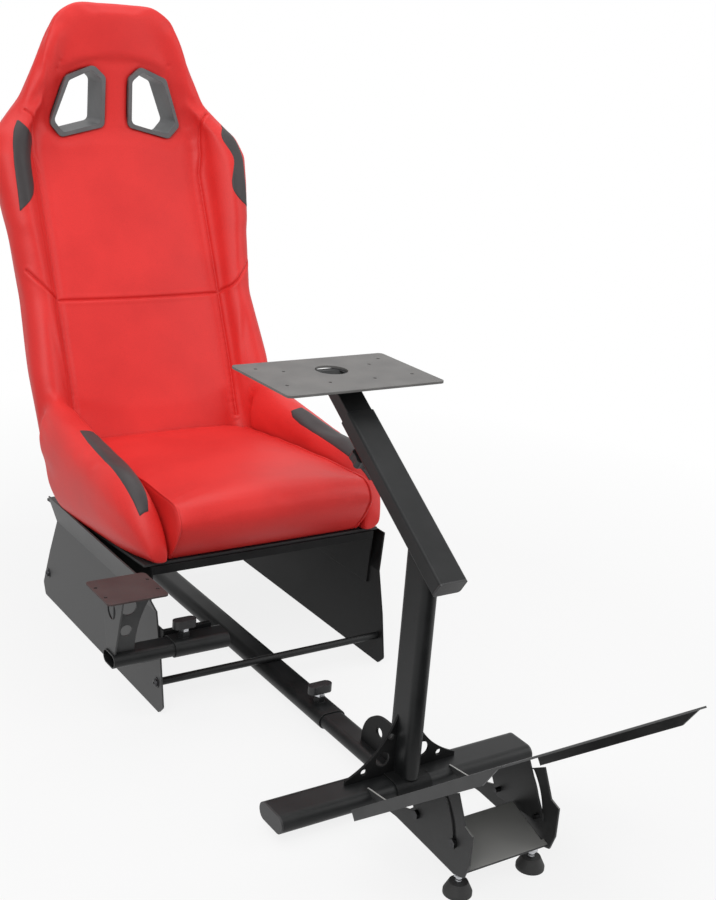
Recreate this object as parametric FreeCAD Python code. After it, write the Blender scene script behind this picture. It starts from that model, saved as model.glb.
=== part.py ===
# Racing cockpit seat: a fixed bucket seat on a low sheet-steel base, with a telescopic floor beam that
# carries a steering post, a tilting pedal plate and, beside the seat, a sliding shifter plate.
# Millimetres. X to the sitter's left, Y to the rear, Z up. The floor is Z = 0, the post axis is X = Y = 0.
import math
import os
import FreeCAD
import Part

V = FreeCAD.Vector
os.makedirs("parts", exist_ok=True)

# Clearances shared by every fit
SLIDE_GAP = 0.3        # between a telescoping tube and the tube around it, each side
TURN_GAP = 0.06        # radial gap of a turning pin or stud
SOFT_GAP = 0.5         # between two upholstered pieces, and behind them
JOIN_GAP = 0.1         # between two pieces welded along a curve
SHEET = 3.0            # all bent sheet
KNOB_HUB = 7.0         # neck of a hand knob
BOSS_H = 10.0          # welded nut that a clamp knob screws into
NUT_W = 19.0
WELD_IN = 0.6          # how far a welded nut sits into its tube
PRESS_GAP = 0.02       # radial gap of a fixed bolt

# Flat-oval tubes
WALL = 2.2
TUBE_W, TUBE_H = 54.0, 30.0           # outer tube of the beam and the shifter sleeve
BAR_W = 70.0                          # crossbar tube, same height as TUBE_H
POST_W = 66.0
ARM_W, ARM_H, ARM_CORNER = 52.0, 32.0, 5.0   # rounded box tube of the steering arm
CAP_LIP, CAP_PLUG, CAP_GAP = 3.0, 14.0, 0.05
INNER_W = TUBE_W - 2 * (WALL + SLIDE_GAP)
INNER_H = TUBE_H - 2 * (WALL + SLIDE_GAP)

# Floor beam and crossbar
BAR_HALF = 243.0
BEAM_Z = 32.0                         # centre height of the crossbar and the beam
BEAM_FRONT, BEAM_REAR = 218.0, 992.0
INNER_FRONT, INNER_END = 20.0, 560.0
ROD_R = 7.0
ROD_FRONT_Y, ROD_REAR_Y = 432.0, 962.0
BEAM_KNOB_Y = 264.0

# Side plates
PLATE_X = 237.0                       # outer face
BEND_Z = 186.0
FLARE_OUT, FLARE_UP = 27.0, 64.0
PLATE_TOP_FRONT, PLATE_TOP_REAR = 444.0, 917.0   # ends of the bend line
PLATE_LINE = [(420, 0), (404, 16), (421, 103), (PLATE_TOP_FRONT, BEND_Z), (PLATE_TOP_REAR, BEND_Z),
              (955, 108), (990, 24), (978, 0)]
PLATE_ROUND = 7.0                     # lower corners
FLARE_CUT_FRONT, FLARE_CUT_REAR = 32.0, 22.0     # how much the flare is cut back at its top ends

# Steering post, arm and wheel plate
SADDLE_HALF = 34.0
SADDLE_TOP = BEAM_Z + TUBE_H / 2.0 + SHEET
ARM_ANGLE = 33.5
ARM_CROSS_Z = 449.0                   # height where the arm axis crosses the post axis
ARM_LOW, ARM_HIGH = -84.0, 254.0      # ends of the arm along its own axis, from that crossing
WHEEL_Z, WHEEL_T = 641.0, 4.0
NECK_Y = (WHEEL_Z - ARM_CROSS_Z) / math.tan(math.radians(ARM_ANGLE))   # where the neck meets the plate
WHEEL_HALF_X, WHEEL_AHEAD, WHEEL_BEHIND = 150.0, 108.08, 85.92         # plate about that point
WHEEL_HOLE_DX, WHEEL_HOLE_DY, WHEEL_HOLE_OFF = 242.0, 104.0, -0.08
WHEEL_EXTRA = [(84, 23.92), (43, -56.08)]   # holes for smaller wheel bases, on both sides
WHEEL_HOLE_R, WHEEL_ROUND = 3.3, 9.0
CABLE_R, CABLE_OFF = 28.0, 9.92
COLLAR_H, COLLAR_LOW, COLLAR_TOP = 15.0, 0.4, 9.0   # height, and growth beyond the neck at its two ends
ARM_KNOB_S = 200.0
NECK_IN = 40.0                        # how far down the arm the neck tube starts

# Stays of the post
GUSSET_T, GUSSET_Y, GUSSET_FOOT, GUSSET_TOP, GUSSET_TOE = 4.0, 6.0, 108.0, 152.0, 8.0
GUSSET_SAG = (50.0, 94.0)             # a point on its curved edge, x and z
GUSSET_HOLES = [(39, 77, 13), (26, 115, 5.5), (74, 62, 5.5)]
STAY_T, STAY_TOP, STAY_REAR, STAY_NOSE, STAY_FLAT = 5.0, 112.0, 122.0, 52.0, 62.0
STAY_SAG = (104.0, 94.0)
STAY_HOLE = (72.0, 82.0, 9.0)

# Pedal bracket and pedal plate
CHEEK_X = 82.0                        # outer face of each cheek
CHEEK_LINE = [(-18, 40), (-100, 46), (-188, 41), (-249, 37), (-272, 44), (-281, 70), (-281, 118), (-262, 124),
              (-240, 166), (-200, 142), (-130, 76), (-66, 56), (-18, 50)]
FLOOR_FRONT, FLOOR_REAR = (-268.0, 47.0), (-185.0, 75.0)   # sloping plate between the cheeks
EAR_ROOM_Y = -258.0                   # from here back the sloping plate leaves room for the ears
EAR_ROOM = 1.5
PIVOT_Y, PIVOT_Z = -151.0, 80.0
SLOT_R = 93.0
SLOT_LOW, SLOT_HIGH, LOCK_DEG = 1.0, 45.0, 4.0
SLOT_PLAY = 0.5
PEDAL_DEG = 38.0
PEDAL_HALF_X, PEDAL_LONG = 180.0, 400.0
PEDAL_REAR_Y, PEDAL_REAR_Z = -120.0, 93.5
PEDAL_LIP = 14.0
PEDAL_SLOT_X, PEDAL_SLOT_U = (-135, -85, 0, 85, 135), (120, 220, 310)
PEDAL_SLOT_W, PEDAL_SLOT_L = 6.6, 48.0
HUB_R, LOCK_HUB_R = 14.0, 11.0
EAR_FROM, EAR_TO = 8.0, 112.0         # where the ears meet the pedal plate, from its rear edge
EAR_GAP = 0.4
BOLT_R, BOLT_LONG, BOLT_HEAD_W, BOLT_HEAD_H = 4.0, 16.0, 13.0, 5.5
FOOT_X, FOOT_Y, FOOT_R, FOOT_H, FOOT_RIM = 69.0, -247.0, 22.0, 20.0, 5.0
FOOT_NECK = 0.66                      # top radius of a foot over its base radius
FOOT_STUD_R, FOOT_STUD_LONG, FOOT_TAB_Z, FOOT_TAB = 5.0, 25.0, 37.5, 9.0
FOOT_NUT_W, FOOT_NUT_H = 16.0, 7.0

# Shifter arm and plate, on the sitter's right
SLEEVE_Y, SLEEVE_Z = 396.0, 140.0
SLEEVE_IN, SLEEVE_OUT = -127.0, -231.0
SHIFT_END = -345.0
SHIFT_TOP = 262.0
SHIFT_X0, SHIFT_X1, SHIFT_Y0, SHIFT_Y1 = -370.0, -260.0, 345.0, 447.0
SHIFT_HOLE_DX, SHIFT_HOLE_DY, SHIFT_HOLE_R = 94.0, 42.0, 3.3
SHIFT_ROUND = 8.0
SHIFT_TUBE = 200.0                    # length of the sliding tube
SHIFT_FOOT, SHIFT_EDGE = 16.0, 6.0    # half width of the end panel at its foot, and its set-back at the plate
SHIFT_WEB_Y, SHIFT_WEB_FOOT = -8.0, 40.0
SHIFT_WEB_SAG = (52.0, 62.0)
SHIFT_PANEL_HOLE = (78.0, 17.0)       # height above the tube, radius
SHIFT_WEB_HOLES = [(28, 80, 14), (24, 38, 10)]
SLEEVE_TAB, SLEEVE_TAB_H, SLEEVE_PANEL = 48.0, 40.0, 9.0
SHIFT_KNOB_X = -205.0

# Seat
PAN_FRONT_Y, PAN_REAR_Y = 472.0, 970.0
PAN_FRONT_Z, PAN_REAR_Z = 259.0, 219.0    # top of the pan, sloping back
PAN_LIP, PAN_SKIRT_Z, PAN_SKIRT_REAR = 15.0, 150.0, 900.0
PAN_HOLE_X, PAN_HOLE_HALF, PAN_HOLE_Y = 130.0, 60.0, (600.0, 860.0)   # two lightening holes
TRAY_T = 5.0
TRAY_SET = 6.0                            # tray front behind the pan front
TRAY_HALF = PLATE_X + 9.0
SEAM_X = 182.0                            # side seams of the centre back panel
SHOULDER_Z = 962.0                        # seam between shoulder wings and headrest
SHELL_T = 5.0
SHELL_TOP = 1120.0                        # the leather covers the rear above this height
HARNESS = [(26, 1044), (53, 1067), (112, 1044), (147, 946), (123, 919), (27, 942)]
BEZEL_W = 11.0
BEZEL_FRONT, BEZEL_FLANGE, BEZEL_DEEP = 1207.0, 7.0, 77.0
HARNESS_ROUND = 12.0
# height, centre line y, half width, wing depth, foam depth, crown
BACK = [
    (234, 891, 238, 32, 58, 4),
    (354, 950, 262, 56, 66, 8),
    (480, 1010, 267, 56, 70, 10),
    (607, 1072, 258, 47, 72, 11),
    (740, 1137, 260, 52, 72, 11),
    (830, 1180, 272, 59, 70, 10),
    (890, 1206, 277, 60, 66, 9),
    (930, 1217, 260, 49, 63, 8),
    (962, 1221, 233, 33, 61, 8),
    (995, 1222, 206, 20, 58, 8),
    (1050, 1223, 181, 13, 55, 8),
    (1120, 1225, 149, 11, 50, 8),
    (1160, 1228, 118, 8, 42, 7),
    (1189, 1231, 70, 5, 22, 5),
]
# shares of a back slice: seam, wing tip and inner edge of the wing; width and depth of its rear corners
SEAM_SHARE, TIP_SHARE, INNER_SHARE = 0.72, 0.58, 0.18
REAR_WIDE, REAR_DEEP = 0.8, 0.72
REAR_LEAN = 0.46                          # lean of the rear ends of the cushion and the thigh bolsters
CUSHION_REAR, THIGH_REAR = 936.0, 890.0   # their y at the height of BACK[1]
HOLE_INSET = -4.0                         # bezel sleeve, inside the outline of the opening
# y, crest height and inner x of a thigh bolster, then its crest and its outside, both from the side plate
THIGH = [
    (462, 296, 206, -15, 3),
    (492, 350, 207, -8, 19),
    (535, 390, 208, 0, 31),
    (640, 414, 204, 5, 39),
    (760, 424, 198, 7, 42),
    (860, 434, 190, 6, 43),
    (940, 446, 182, 3, 41),
]
THIGH_TUCK, THIGH_BULGE = 27.0, 4.0       # how far the lower edge is drawn in, and the bulge above it
CUSHION_FRONT_HALF, CUSHION_REAR_HALF = 204.0, 172.0
CUSHION_PLAN_FRONT, CUSHION_PLAN_REAR = 380.0, 1100.0
# x, drop of the top and set-back of the nose along the cushion
CUSHION = [(-210, 13, 9), (-150, 4, 3), (0, 0, 0), (150, 4, 3), (210, 13, 9)]
CUSHION_TOP = [(985, 344), (700, 375), (478, 386)]
CUSHION_NOSE = [(442, 376), (429, 350)]
CUSHION_UNDER = [(450, 298), (486, 263)]
KNOB_H = 15.0
BEAM_KNOB, SHIFT_KNOB = (46.0, 20.0, 15.0), (44.0, 19.0, 14.0)   # length, width, neck across flats
STAR_R, STAR_LOBES, STAR_H, STAR_NECK = 20.0, 5, 16.0, 18.0
FAR = 400.0                               # beyond every piece, for cutting shapes


def box(x0, x1, y0, y1, z0, z1):
    return Part.makeBox(x1 - x0, y1 - y0, z1 - z0, V(x0, y0, z0))


def cyl(r, length, base, axis):
    return Part.makeCylinder(r, length, V(*base), V(*axis))


def mirrored(shape):
    return shape.mirror(V(0, 0, 0), V(1, 0, 0))


def joined(shapes):
    first = shapes[0]
    if len(shapes) > 1:
        first = first.multiFuse(shapes[1:])
    return first.removeSplitter()


def polygon(points):
    return Part.Face(Part.makePolygon([V(*p) for p in points + points[:1]]))


def prism(points, push):
    return polygon(points).extrude(V(*push))


def arc(a, m, b):
    return Part.Arc(V(*a), V(*m), V(*b)).toShape()


def line(a, b):
    return Part.makeLine(V(*a), V(*b))


def oval(width, height):
    # flat oval in the local XY plane, width along X
    h = height / 2.0
    s = width / 2.0 - h
    edges = [
        line((-s, -h, 0), (s, -h, 0)),
        arc((s, -h, 0), (s + h, 0, 0), (s, h, 0)),
        line((s, h, 0), (-s, h, 0)),
        arc((-s, h, 0), (-s - h, 0, 0), (-s, -h, 0)),
    ]
    return Part.Face(Part.Wire(edges))


def oval_bar(width, height, length, place):
    bar = oval(width, height).extrude(V(0, 0, length))
    bar.Placement = place
    return bar


def oval_tube(width, height, length, place):
    outer = oval_bar(width, height, length, place)
    return outer.cut(oval_bar(width - 2 * WALL, height - 2 * WALL, length, place))


def boxed(width, height, corner):
    # rounded box section in the local XY plane
    face = Part.makePlane(width, height, V(-width / 2.0, -height / 2.0, 0))
    solid = face.extrude(V(0, 0, 1))
    ups = [e for e in solid.Edges if abs(e.Vertexes[0].Z - e.Vertexes[-1].Z) > 0.5]
    solid = solid.makeFillet(corner, ups)
    return [f for f in solid.Faces if abs(f.CenterOfMass.z) < 0.01][0]


def boxed_bar(width, height, corner, length, place):
    bar = boxed(width, height, corner).extrude(V(0, 0, length))
    bar.Placement = place
    return bar


def axes_place(base, x_dir, z_dir):
    # placement with local X along x_dir and local Z along z_dir
    return FreeCAD.Placement(V(*base), FreeCAD.Rotation(V(*x_dir), V(0, 0, 0), V(*z_dir), "ZXY"))


def hex_prism(across, height, base, axis):
    r = across / math.sqrt(3.0)
    ring = [V(r * math.cos(math.radians(60 * i)), r * math.sin(math.radians(60 * i)), 0) for i in range(7)]
    solid = Part.Face(Part.makePolygon(ring)).extrude(V(0, 0, height))
    solid.Placement = FreeCAD.Placement(V(*base), FreeCAD.Rotation(V(0, 0, 1), V(*axis)))
    return solid


def knob_and_stud(face, height, neck, base, axis, stud_long):
    # moulded hand knob from its outline, with a six-sided neck, and the threaded stud below it
    knob = face.extrude(V(0, 0, height))
    knob = knob.fuse(hex_prism(neck, KNOB_HUB, (0, 0, -KNOB_HUB), (0, 0, 1)))
    stud = cyl(BOLT_R, stud_long, (0, 0, -KNOB_HUB - stud_long), (0, 0, 1))
    place = FreeCAD.Placement(V(*base), FreeCAD.Rotation(V(0, 0, 1), V(*axis)))
    knob.Placement = place
    stud.Placement = place
    return knob, stud


def star_face(radius, lobes):
    # scalloped outline of a star knob
    step = math.pi / lobes
    valley = radius * 0.8

    def rim(r, i):
        return (r * math.cos(i * step), r * math.sin(i * step), 0)
    edges = []
    for i in range(0, 2 * lobes, 2):
        edges.append(arc(rim(valley * 1.07, i - 0.55), rim(radius, i), rim(valley * 1.07, i + 0.55)))
        edges.append(arc(rim(valley * 1.07, i + 0.55), rim(valley, i + 1), rim(valley * 1.07, i + 1.45)))
    return Part.Face(Part.Wire(edges))


def bar_place(x, y, z):
    return axes_place((x, y, z), (0, 1, 0), (1, 0, 0))


def beam_place(y):
    return axes_place((0, y, BEAM_Z), (1, 0, 0), (0, 1, 0))


def side_plate(side):
    # bent sheet: upright with a sloped front and rear edge and a flared top that cups the seat
    outline = [(PLATE_X - SHEET, y, z) for y, z in PLATE_LINE]
    upright = prism(outline, (SHEET, 0, 0))
    rounds = [e for e in upright.Edges if abs(e.Vertexes[0].Y - e.Vertexes[-1].Y) < 0.01
              and abs(e.Vertexes[0].Z - e.Vertexes[-1].Z) < 0.01 and e.Vertexes[0].Z < 150]
    upright = upright.makeFillet(PLATE_ROUND, rounds)
    slope = math.hypot(FLARE_OUT, FLARE_UP)
    nx, nz = SHEET * FLARE_UP / slope, SHEET * FLARE_OUT / slope
    band = [
        (PLATE_X, 0, BEND_Z - 0.5),
        (PLATE_X + FLARE_OUT, 0, BEND_Z + FLARE_UP),
        (PLATE_X + FLARE_OUT - nx, 0, BEND_Z + FLARE_UP + nz),
        (PLATE_X - SHEET, 0, BEND_Z + 0.4),
        (PLATE_X - SHEET, 0, BEND_Z - 2),
        (PLATE_X, 0, BEND_Z - 2),
    ]
    flare = prism(band, (0, PLATE_TOP_REAR - PLATE_TOP_FRONT, 0))
    flare.translate(V(0, PLATE_TOP_FRONT, 0))
    top = BEND_Z + FLARE_UP + SHEET
    ends = [(PLATE_TOP_FRONT, 0), (PLATE_TOP_FRONT, BEND_Z), (PLATE_TOP_FRONT + FLARE_CUT_FRONT, top),
            (PLATE_TOP_REAR - FLARE_CUT_REAR, top), (PLATE_TOP_REAR, BEND_Z), (PLATE_TOP_REAR, 0)]
    flare = flare.common(prism([(0, y, z) for y, z in ends], (FAR, 0, 0)))
    plate = joined([upright, flare])
    return plate if side > 0 else mirrored(plate)


def rod_height():
    return BEAM_Z + TUBE_H / 2.0 + ROD_R + JOIN_GAP


def base_spine():
    # outer floor tube with a clamp nut welded on top
    tube = oval_tube(TUBE_W, TUBE_H, BEAM_REAR - BEAM_FRONT, beam_place(BEAM_FRONT))
    top = BEAM_Z + TUBE_H / 2.0
    boss = hex_prism(NUT_W, BOSS_H + WELD_IN, (0, BEAM_KNOB_Y, top - WELD_IN), (0, 0, 1))
    return joined([tube, boss]).cut(cyl(BOLT_R + TURN_GAP, FAR, (0, BEAM_KNOB_Y, BEAM_Z), (0, 0, 1)))


def cross_rods():
    # two round rods welded over the floor tube, reaching the inner faces of the side plates
    half = PLATE_X - SHEET
    return Part.makeCompound([cyl(ROD_R, 2 * half, (-half, y, rod_height()), (1, 0, 0))
                              for y in (ROD_FRONT_Y, ROD_REAR_Y)])


def beam_inner():
    tube = oval_tube(INNER_W, INNER_H, INNER_END - INNER_FRONT, beam_place(INNER_FRONT))
    return tube.cut(bar_solid()).cut(saddle_room())


def bar_solid(grow=JOIN_GAP):
    return oval_bar(BAR_W + 2 * grow, TUBE_H + 2 * grow, 2 * BAR_HALF, bar_place(-BAR_HALF, 0, BEAM_Z))


def crossbar():
    return oval_tube(BAR_W, TUBE_H, 2 * BAR_HALF, bar_place(-BAR_HALF, 0, BEAM_Z))


def crossbar_caps():
    # moulded end caps: an oval lip and a square plug between the flats of the tube
    flat, high = (BAR_W - TUBE_H) / 2.0, TUBE_H / 2.0 - WALL - CAP_GAP
    plug = box(-BAR_HALF, -BAR_HALF + CAP_PLUG, -flat, flat, BEAM_Z - high, BEAM_Z + high)
    lip = oval_bar(BAR_W, TUBE_H, CAP_LIP, bar_place(-BAR_HALF - CAP_LIP, 0, BEAM_Z))
    cap = joined([plug, lip])
    return Part.makeCompound([cap, mirrored(cap)])


def arm_point(s, n=0.0):
    # a point on the arm axis at s, moved n along the arm's upward normal
    a = math.radians(ARM_ANGLE)
    return (0, s * math.cos(a) - n * math.sin(a), ARM_CROSS_Z + s * math.sin(a) + n * math.cos(a))


def arm_dir():
    a = math.radians(ARM_ANGLE)
    return (0, math.cos(a), math.sin(a))


def arm_down():
    a = math.radians(ARM_ANGLE)
    return (0, math.sin(a), -math.cos(a))


def arm_place(s):
    return axes_place(arm_point(s), (1, 0, 0), arm_dir())


def post_saddle():
    # bent strap over the crossbar that the post stands on
    place = bar_place(-SADDLE_HALF, 0, BEAM_Z)
    wrap = oval_bar(BAR_W + 2 * SHEET, TUBE_H + 2 * SHEET, 2 * SADDLE_HALF, place)
    wrap = wrap.cut(bar_solid(0))
    return wrap.cut(box(-FAR, FAR, -FAR, FAR, 0, BEAM_Z))


def saddle_room():
    grow = 2 * (SHEET + JOIN_GAP)
    room = oval_bar(BAR_W + grow, TUBE_H + grow, 2 * (SADDLE_HALF + JOIN_GAP),
                    bar_place(-SADDLE_HALF - JOIN_GAP, 0, BEAM_Z))
    return room


def post_solid():
    place = axes_place((0, 0, SADDLE_TOP), (0, 1, 0), (0, 0, 1))
    return oval_bar(POST_W + 2 * JOIN_GAP, TUBE_H + 2 * JOIN_GAP, ARM_CROSS_Z - SADDLE_TOP, place)


def steering_post():
    place = axes_place((0, 0, SADDLE_TOP), (0, 1, 0), (0, 0, 1))
    post = oval_tube(POST_W, TUBE_H, ARM_CROSS_Z - SADDLE_TOP, place)
    lid = box(-FAR, FAR, -FAR, FAR, 0, FAR)
    lid.Placement = axes_place(arm_point(0), (1, 0, 0), tuple(-c for c in arm_down()))
    arm_room = boxed_bar(ARM_W + 2 * JOIN_GAP, ARM_H + 2 * JOIN_GAP, ARM_CORNER, 2 * FAR, arm_place(-FAR))
    return post.cut(lid).cut(arm_room)


def arm_tube():
    # rounded box tube with a clamp nut welded underneath
    length = ARM_HIGH - ARM_LOW
    outer = boxed_bar(ARM_W, ARM_H, ARM_CORNER, length, arm_place(ARM_LOW))
    boss = hex_prism(NUT_W, BOSS_H + WELD_IN, arm_point(ARM_KNOB_S, -ARM_H / 2.0 + WELD_IN), arm_down())
    core = boxed_bar(ARM_W - 2 * WALL, ARM_H - 2 * WALL, ARM_CORNER - WALL, length, arm_place(ARM_LOW))
    hole = cyl(BOLT_R + TURN_GAP, FAR, arm_point(ARM_KNOB_S), arm_down())
    return joined([outer, boss]).cut(core).cut(hole)


def arm_cap():
    room = 2 * (WALL + CAP_GAP)
    plug = boxed_bar(ARM_W - room, ARM_H - room, ARM_CORNER - WALL, CAP_PLUG, arm_place(ARM_LOW))
    lip = boxed_bar(ARM_W, ARM_H, ARM_CORNER, CAP_LIP, arm_place(ARM_LOW - CAP_LIP))
    return joined([plug, lip])


def neck_bar(grow, base_s):
    # solid of the neck's section along the arm axis
    shrink = 2 * (WALL + SLIDE_GAP - grow)
    corner = ARM_CORNER - WALL - SLIDE_GAP + grow
    return boxed_bar(ARM_W - shrink, ARM_H - shrink, corner, 2 * FAR, arm_place(base_s))


def wheel_neck():
    # inner tube of the arm, cut level under the wheel plate
    tube = neck_bar(0, NECK_IN).cut(neck_bar(-WALL, NECK_IN - FAR))
    return tube.common(box(-FAR, FAR, -FAR, 2 * FAR, 0, WHEEL_Z))


def wheel_collar():
    # flared collar round the neck, under the wheel plate
    a = math.radians(ARM_ANGLE)
    wide, deep = ARM_W - 2 * (WALL + SLIDE_GAP), (ARM_H - 2 * (WALL + SLIDE_GAP)) / math.sin(a)
    sections = []
    for z, grow in ((WHEEL_Z - COLLAR_H, COLLAR_LOW), (WHEEL_Z, COLLAR_TOP)):
        face = boxed(wide + 2 * grow, deep + 2 * grow, ARM_CORNER)
        face.Placement = FreeCAD.Placement(V(0, (z - ARM_CROSS_Z) / math.tan(a), z), FreeCAD.Rotation())
        sections.append(face.OuterWire)
    return Part.makeLoft(sections, True, True).cut(neck_bar(JOIN_GAP, NECK_IN))


def wheel_plate():
    # flat plate with rounded corners, bolt holes and a cable hole
    front, rear = NECK_Y - WHEEL_AHEAD, NECK_Y + WHEEL_BEHIND
    plate = box(-WHEEL_HALF_X, WHEEL_HALF_X, front, rear, WHEEL_Z, WHEEL_Z + WHEEL_T)
    ups = [e for e in plate.Edges if abs(e.Vertexes[0].Z - e.Vertexes[-1].Z) > 1]
    plate = plate.makeFillet(WHEEL_ROUND, ups)
    holes = [(0, NECK_Y + CABLE_OFF, CABLE_R)]
    mid = NECK_Y + WHEEL_HOLE_OFF
    for sx in (-1, 1):
        for sy in (-1, 1):
            holes.append((sx * WHEEL_HOLE_DX / 2, mid + sy * WHEEL_HOLE_DY / 2, WHEEL_HOLE_R))
        for x, y in WHEEL_EXTRA:
            holes.append((sx * x, NECK_Y + y, WHEEL_HOLE_R))
    for x, y, r in holes:
        plate = plate.cut(cyl(r, FAR, (x, y, WHEEL_Z - FAR / 2), (0, 0, 1)))
    return plate


def post_gusset(side):
    # triangular stay between the post and the crossbar, with lightening holes
    top = BEAM_Z + TUBE_H / 2.0
    inner = TUBE_H / 2.0
    y0 = GUSSET_Y
    toe = (GUSSET_FOOT, y0, top + GUSSET_TOE)
    tip = (inner, y0, GUSSET_TOP)
    edges = [
        line((inner, y0, top), (GUSSET_FOOT, y0, top)),
        line((GUSSET_FOOT, y0, top), toe),
        arc(toe, (GUSSET_SAG[0], y0, GUSSET_SAG[1]), tip),
        line(tip, (inner, y0, top)),
    ]
    plate = Part.Face(Part.Wire(edges)).extrude(V(0, GUSSET_T, 0))
    for x, z, r in GUSSET_HOLES:
        plate = plate.cut(cyl(r, FAR, (x, -FAR / 2, z), (0, 1, 0)))
    plate = plate.cut(saddle_room())
    return plate if side > 0 else mirrored(plate)


def beam_stay():
    # rounded stay behind the post, standing on the inner tube
    low = BEAM_Z + INNER_H / 2.0
    back = POST_W / 2.0 - SHEET
    x = -STAY_T / 2.0
    crown, nose = (x, STAY_FLAT, STAY_TOP), (x, STAY_REAR, STAY_NOSE)
    heel = (x, BAR_W / 2.0 + 2 * SHEET, low)
    edges = [
        line((x, back, SADDLE_TOP), (x, back, STAY_TOP)),
        line((x, back, STAY_TOP), crown),
        arc(crown, (x,) + STAY_SAG, nose),
        line(nose, (x, STAY_REAR, low)),
        line((x, STAY_REAR, low), heel),
        line(heel, (x, back, SADDLE_TOP)),
    ]
    plate = Part.Face(Part.Wire(edges)).extrude(V(STAY_T, 0, 0))
    y, z, r = STAY_HOLE
    plate = plate.cut(cyl(r, FAR, (-FAR / 2, y, z), (1, 0, 0)))
    return plate.cut(post_solid()).cut(saddle_room())


def lock_point(degrees, r=SLOT_R):
    a = math.radians(degrees)
    return (PIVOT_Y - r * math.cos(a), PIVOT_Z + r * math.sin(a))


def slot_cut(x0, depth):
    # arc slot about the pivot
    half = BOLT_R + SLOT_PLAY
    mid = (SLOT_LOW + SLOT_HIGH) / 2.0
    p = [(x0,) + lock_point(d, SLOT_R + k * half) for k in (-1, 1) for d in (SLOT_LOW, mid, SLOT_HIGH)]
    edges = [arc(p[0], p[1], p[2]), line(p[2], p[5]), arc(p[5], p[4], p[3]), line(p[3], p[0])]
    cut = Part.Face(Part.Wire(edges)).extrude(V(depth, 0, 0))
    ends = [cyl(half, depth, (x0,) + lock_point(d), (1, 0, 0)) for d in (SLOT_LOW, SLOT_HIGH)]
    return joined([cut] + ends)


def pedal_bracket():
    # two cheeks welded to the front of the crossbar, a sloping plate between them and two foot tabs
    inner = CHEEK_X - SHEET
    (y0, z0), (y1, z1) = FLOOR_FRONT, FLOOR_REAR
    floor = prism([(-inner, y0, z0), (-inner, y1, z1), (-inner, y1, z1 + SHEET), (-inner, y0, z0 + SHEET)],
                  (2 * inner, 0, 0))
    parts = []
    for s in (-1, 1):
        x0 = inner if s > 0 else -CHEEK_X
        parts.append(prism([(x0, y, z) for y, z in CHEEK_LINE], (SHEET, 0, 0)))
        edges = sorted((s * CHEEK_X - s, s * (FOOT_X - FOOT_TAB)))
        tab_front, tab_rear = FOOT_Y - FOOT_TAB, FOOT_Y + FOOT_TAB
        parts.append(box(edges[0], edges[1], tab_front, tab_rear, FOOT_TAB_Z, FOOT_TAB_Z + SHEET))
        room = sorted((s * inner, s * (inner - EAR_GAP - SHEET - EAR_ROOM)))
        floor = floor.cut(box(room[0], room[1], EAR_ROOM_Y, 0, 0, FAR))
    bracket = joined(parts + [floor]).cut(bar_solid())
    for s in (-1, 1):
        x0 = s * CHEEK_X - 2 * SHEET
        bracket = bracket.cut(cyl(BOLT_R + PRESS_GAP, 4 * SHEET, (x0, PIVOT_Y, PIVOT_Z), (1, 0, 0)))
        bracket = bracket.cut(slot_cut(x0, 4 * SHEET))
        hole = cyl(FOOT_STUD_R + TURN_GAP, 2 * SHEET, (s * FOOT_X, FOOT_Y, FOOT_TAB_Z - SHEET), (0, 0, 1))
        bracket = bracket.cut(hole)
    return bracket


def pedal_point(u, n):
    # u along the pedal plate from its rear edge, n above its underside
    a = math.radians(PEDAL_DEG)
    y = PEDAL_REAR_Y - u * math.cos(a) + n * math.sin(a)
    return (y, PEDAL_REAR_Z + u * math.sin(a) + n * math.cos(a))


def pedal_plate():
    # inclined sheet with a tapering folded lip down each side and rows of slots for pedal sets
    def slab(x0, x1, corners):
        return prism([(x0,) + pedal_point(u, n) for u, n in corners], (x1 - x0, 0, 0))
    w = PEDAL_HALF_X
    plate = slab(-w, w, ((0, 0), (PEDAL_LONG, 0), (PEDAL_LONG, SHEET), (0, SHEET)))
    lip = ((0, SHEET), (0, -PEDAL_LIP), (PEDAL_LONG - 4 * PEDAL_LIP, -PEDAL_LIP), (PEDAL_LONG - PEDAL_LIP, 0),
           (PEDAL_LONG - PEDAL_LIP, SHEET))
    plate = joined([plate, slab(-w, -w + SHEET, lip), slab(w - SHEET, w, lip)])
    for x in PEDAL_SLOT_X:
        for u in PEDAL_SLOT_U:
            u0, u1 = u - PEDAL_SLOT_L / 2.0, u + PEDAL_SLOT_L / 2.0
            cut = ((u0, -SHEET), (u1, -SHEET), (u1, 2 * SHEET), (u0, 2 * SHEET))
            plate = plate.cut(slab(x - PEDAL_SLOT_W / 2.0, x + PEDAL_SLOT_W / 2.0, cut))
    return plate


def pedal_ear(side):
    # ear under the pedal plate, just inside the cheek
    x1 = CHEEK_X - SHEET - EAR_GAP
    x0 = x1 - SHEET
    lock = lock_point(LOCK_DEG)
    hub = cyl(HUB_R, SHEET, (x0, PIVOT_Y, PIVOT_Z), (1, 0, 0))
    end = cyl(LOCK_HUB_R, SHEET, (x0,) + lock, (1, 0, 0))
    p = [pedal_point(EAR_FROM, 0), pedal_point(EAR_TO, 0), (lock[0] - LOCK_HUB_R, lock[1]),
         (lock[0], lock[1] - LOCK_HUB_R), (PIVOT_Y, PIVOT_Z - HUB_R), (PIVOT_Y + HUB_R, PIVOT_Z)]
    web = prism([(x0,) + q for q in p], (SHEET, 0, 0))
    ear = joined([web, hub, end])
    ear = ear.cut(cyl(BOLT_R + TURN_GAP, 3 * SHEET, (x0 - SHEET, PIVOT_Y, PIVOT_Z), (1, 0, 0)))
    ear = ear.cut(cyl(BOLT_R + PRESS_GAP, 3 * SHEET, (x0 - SHEET,) + lock, (1, 0, 0)))
    return ear if side > 0 else mirrored(ear)


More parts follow.
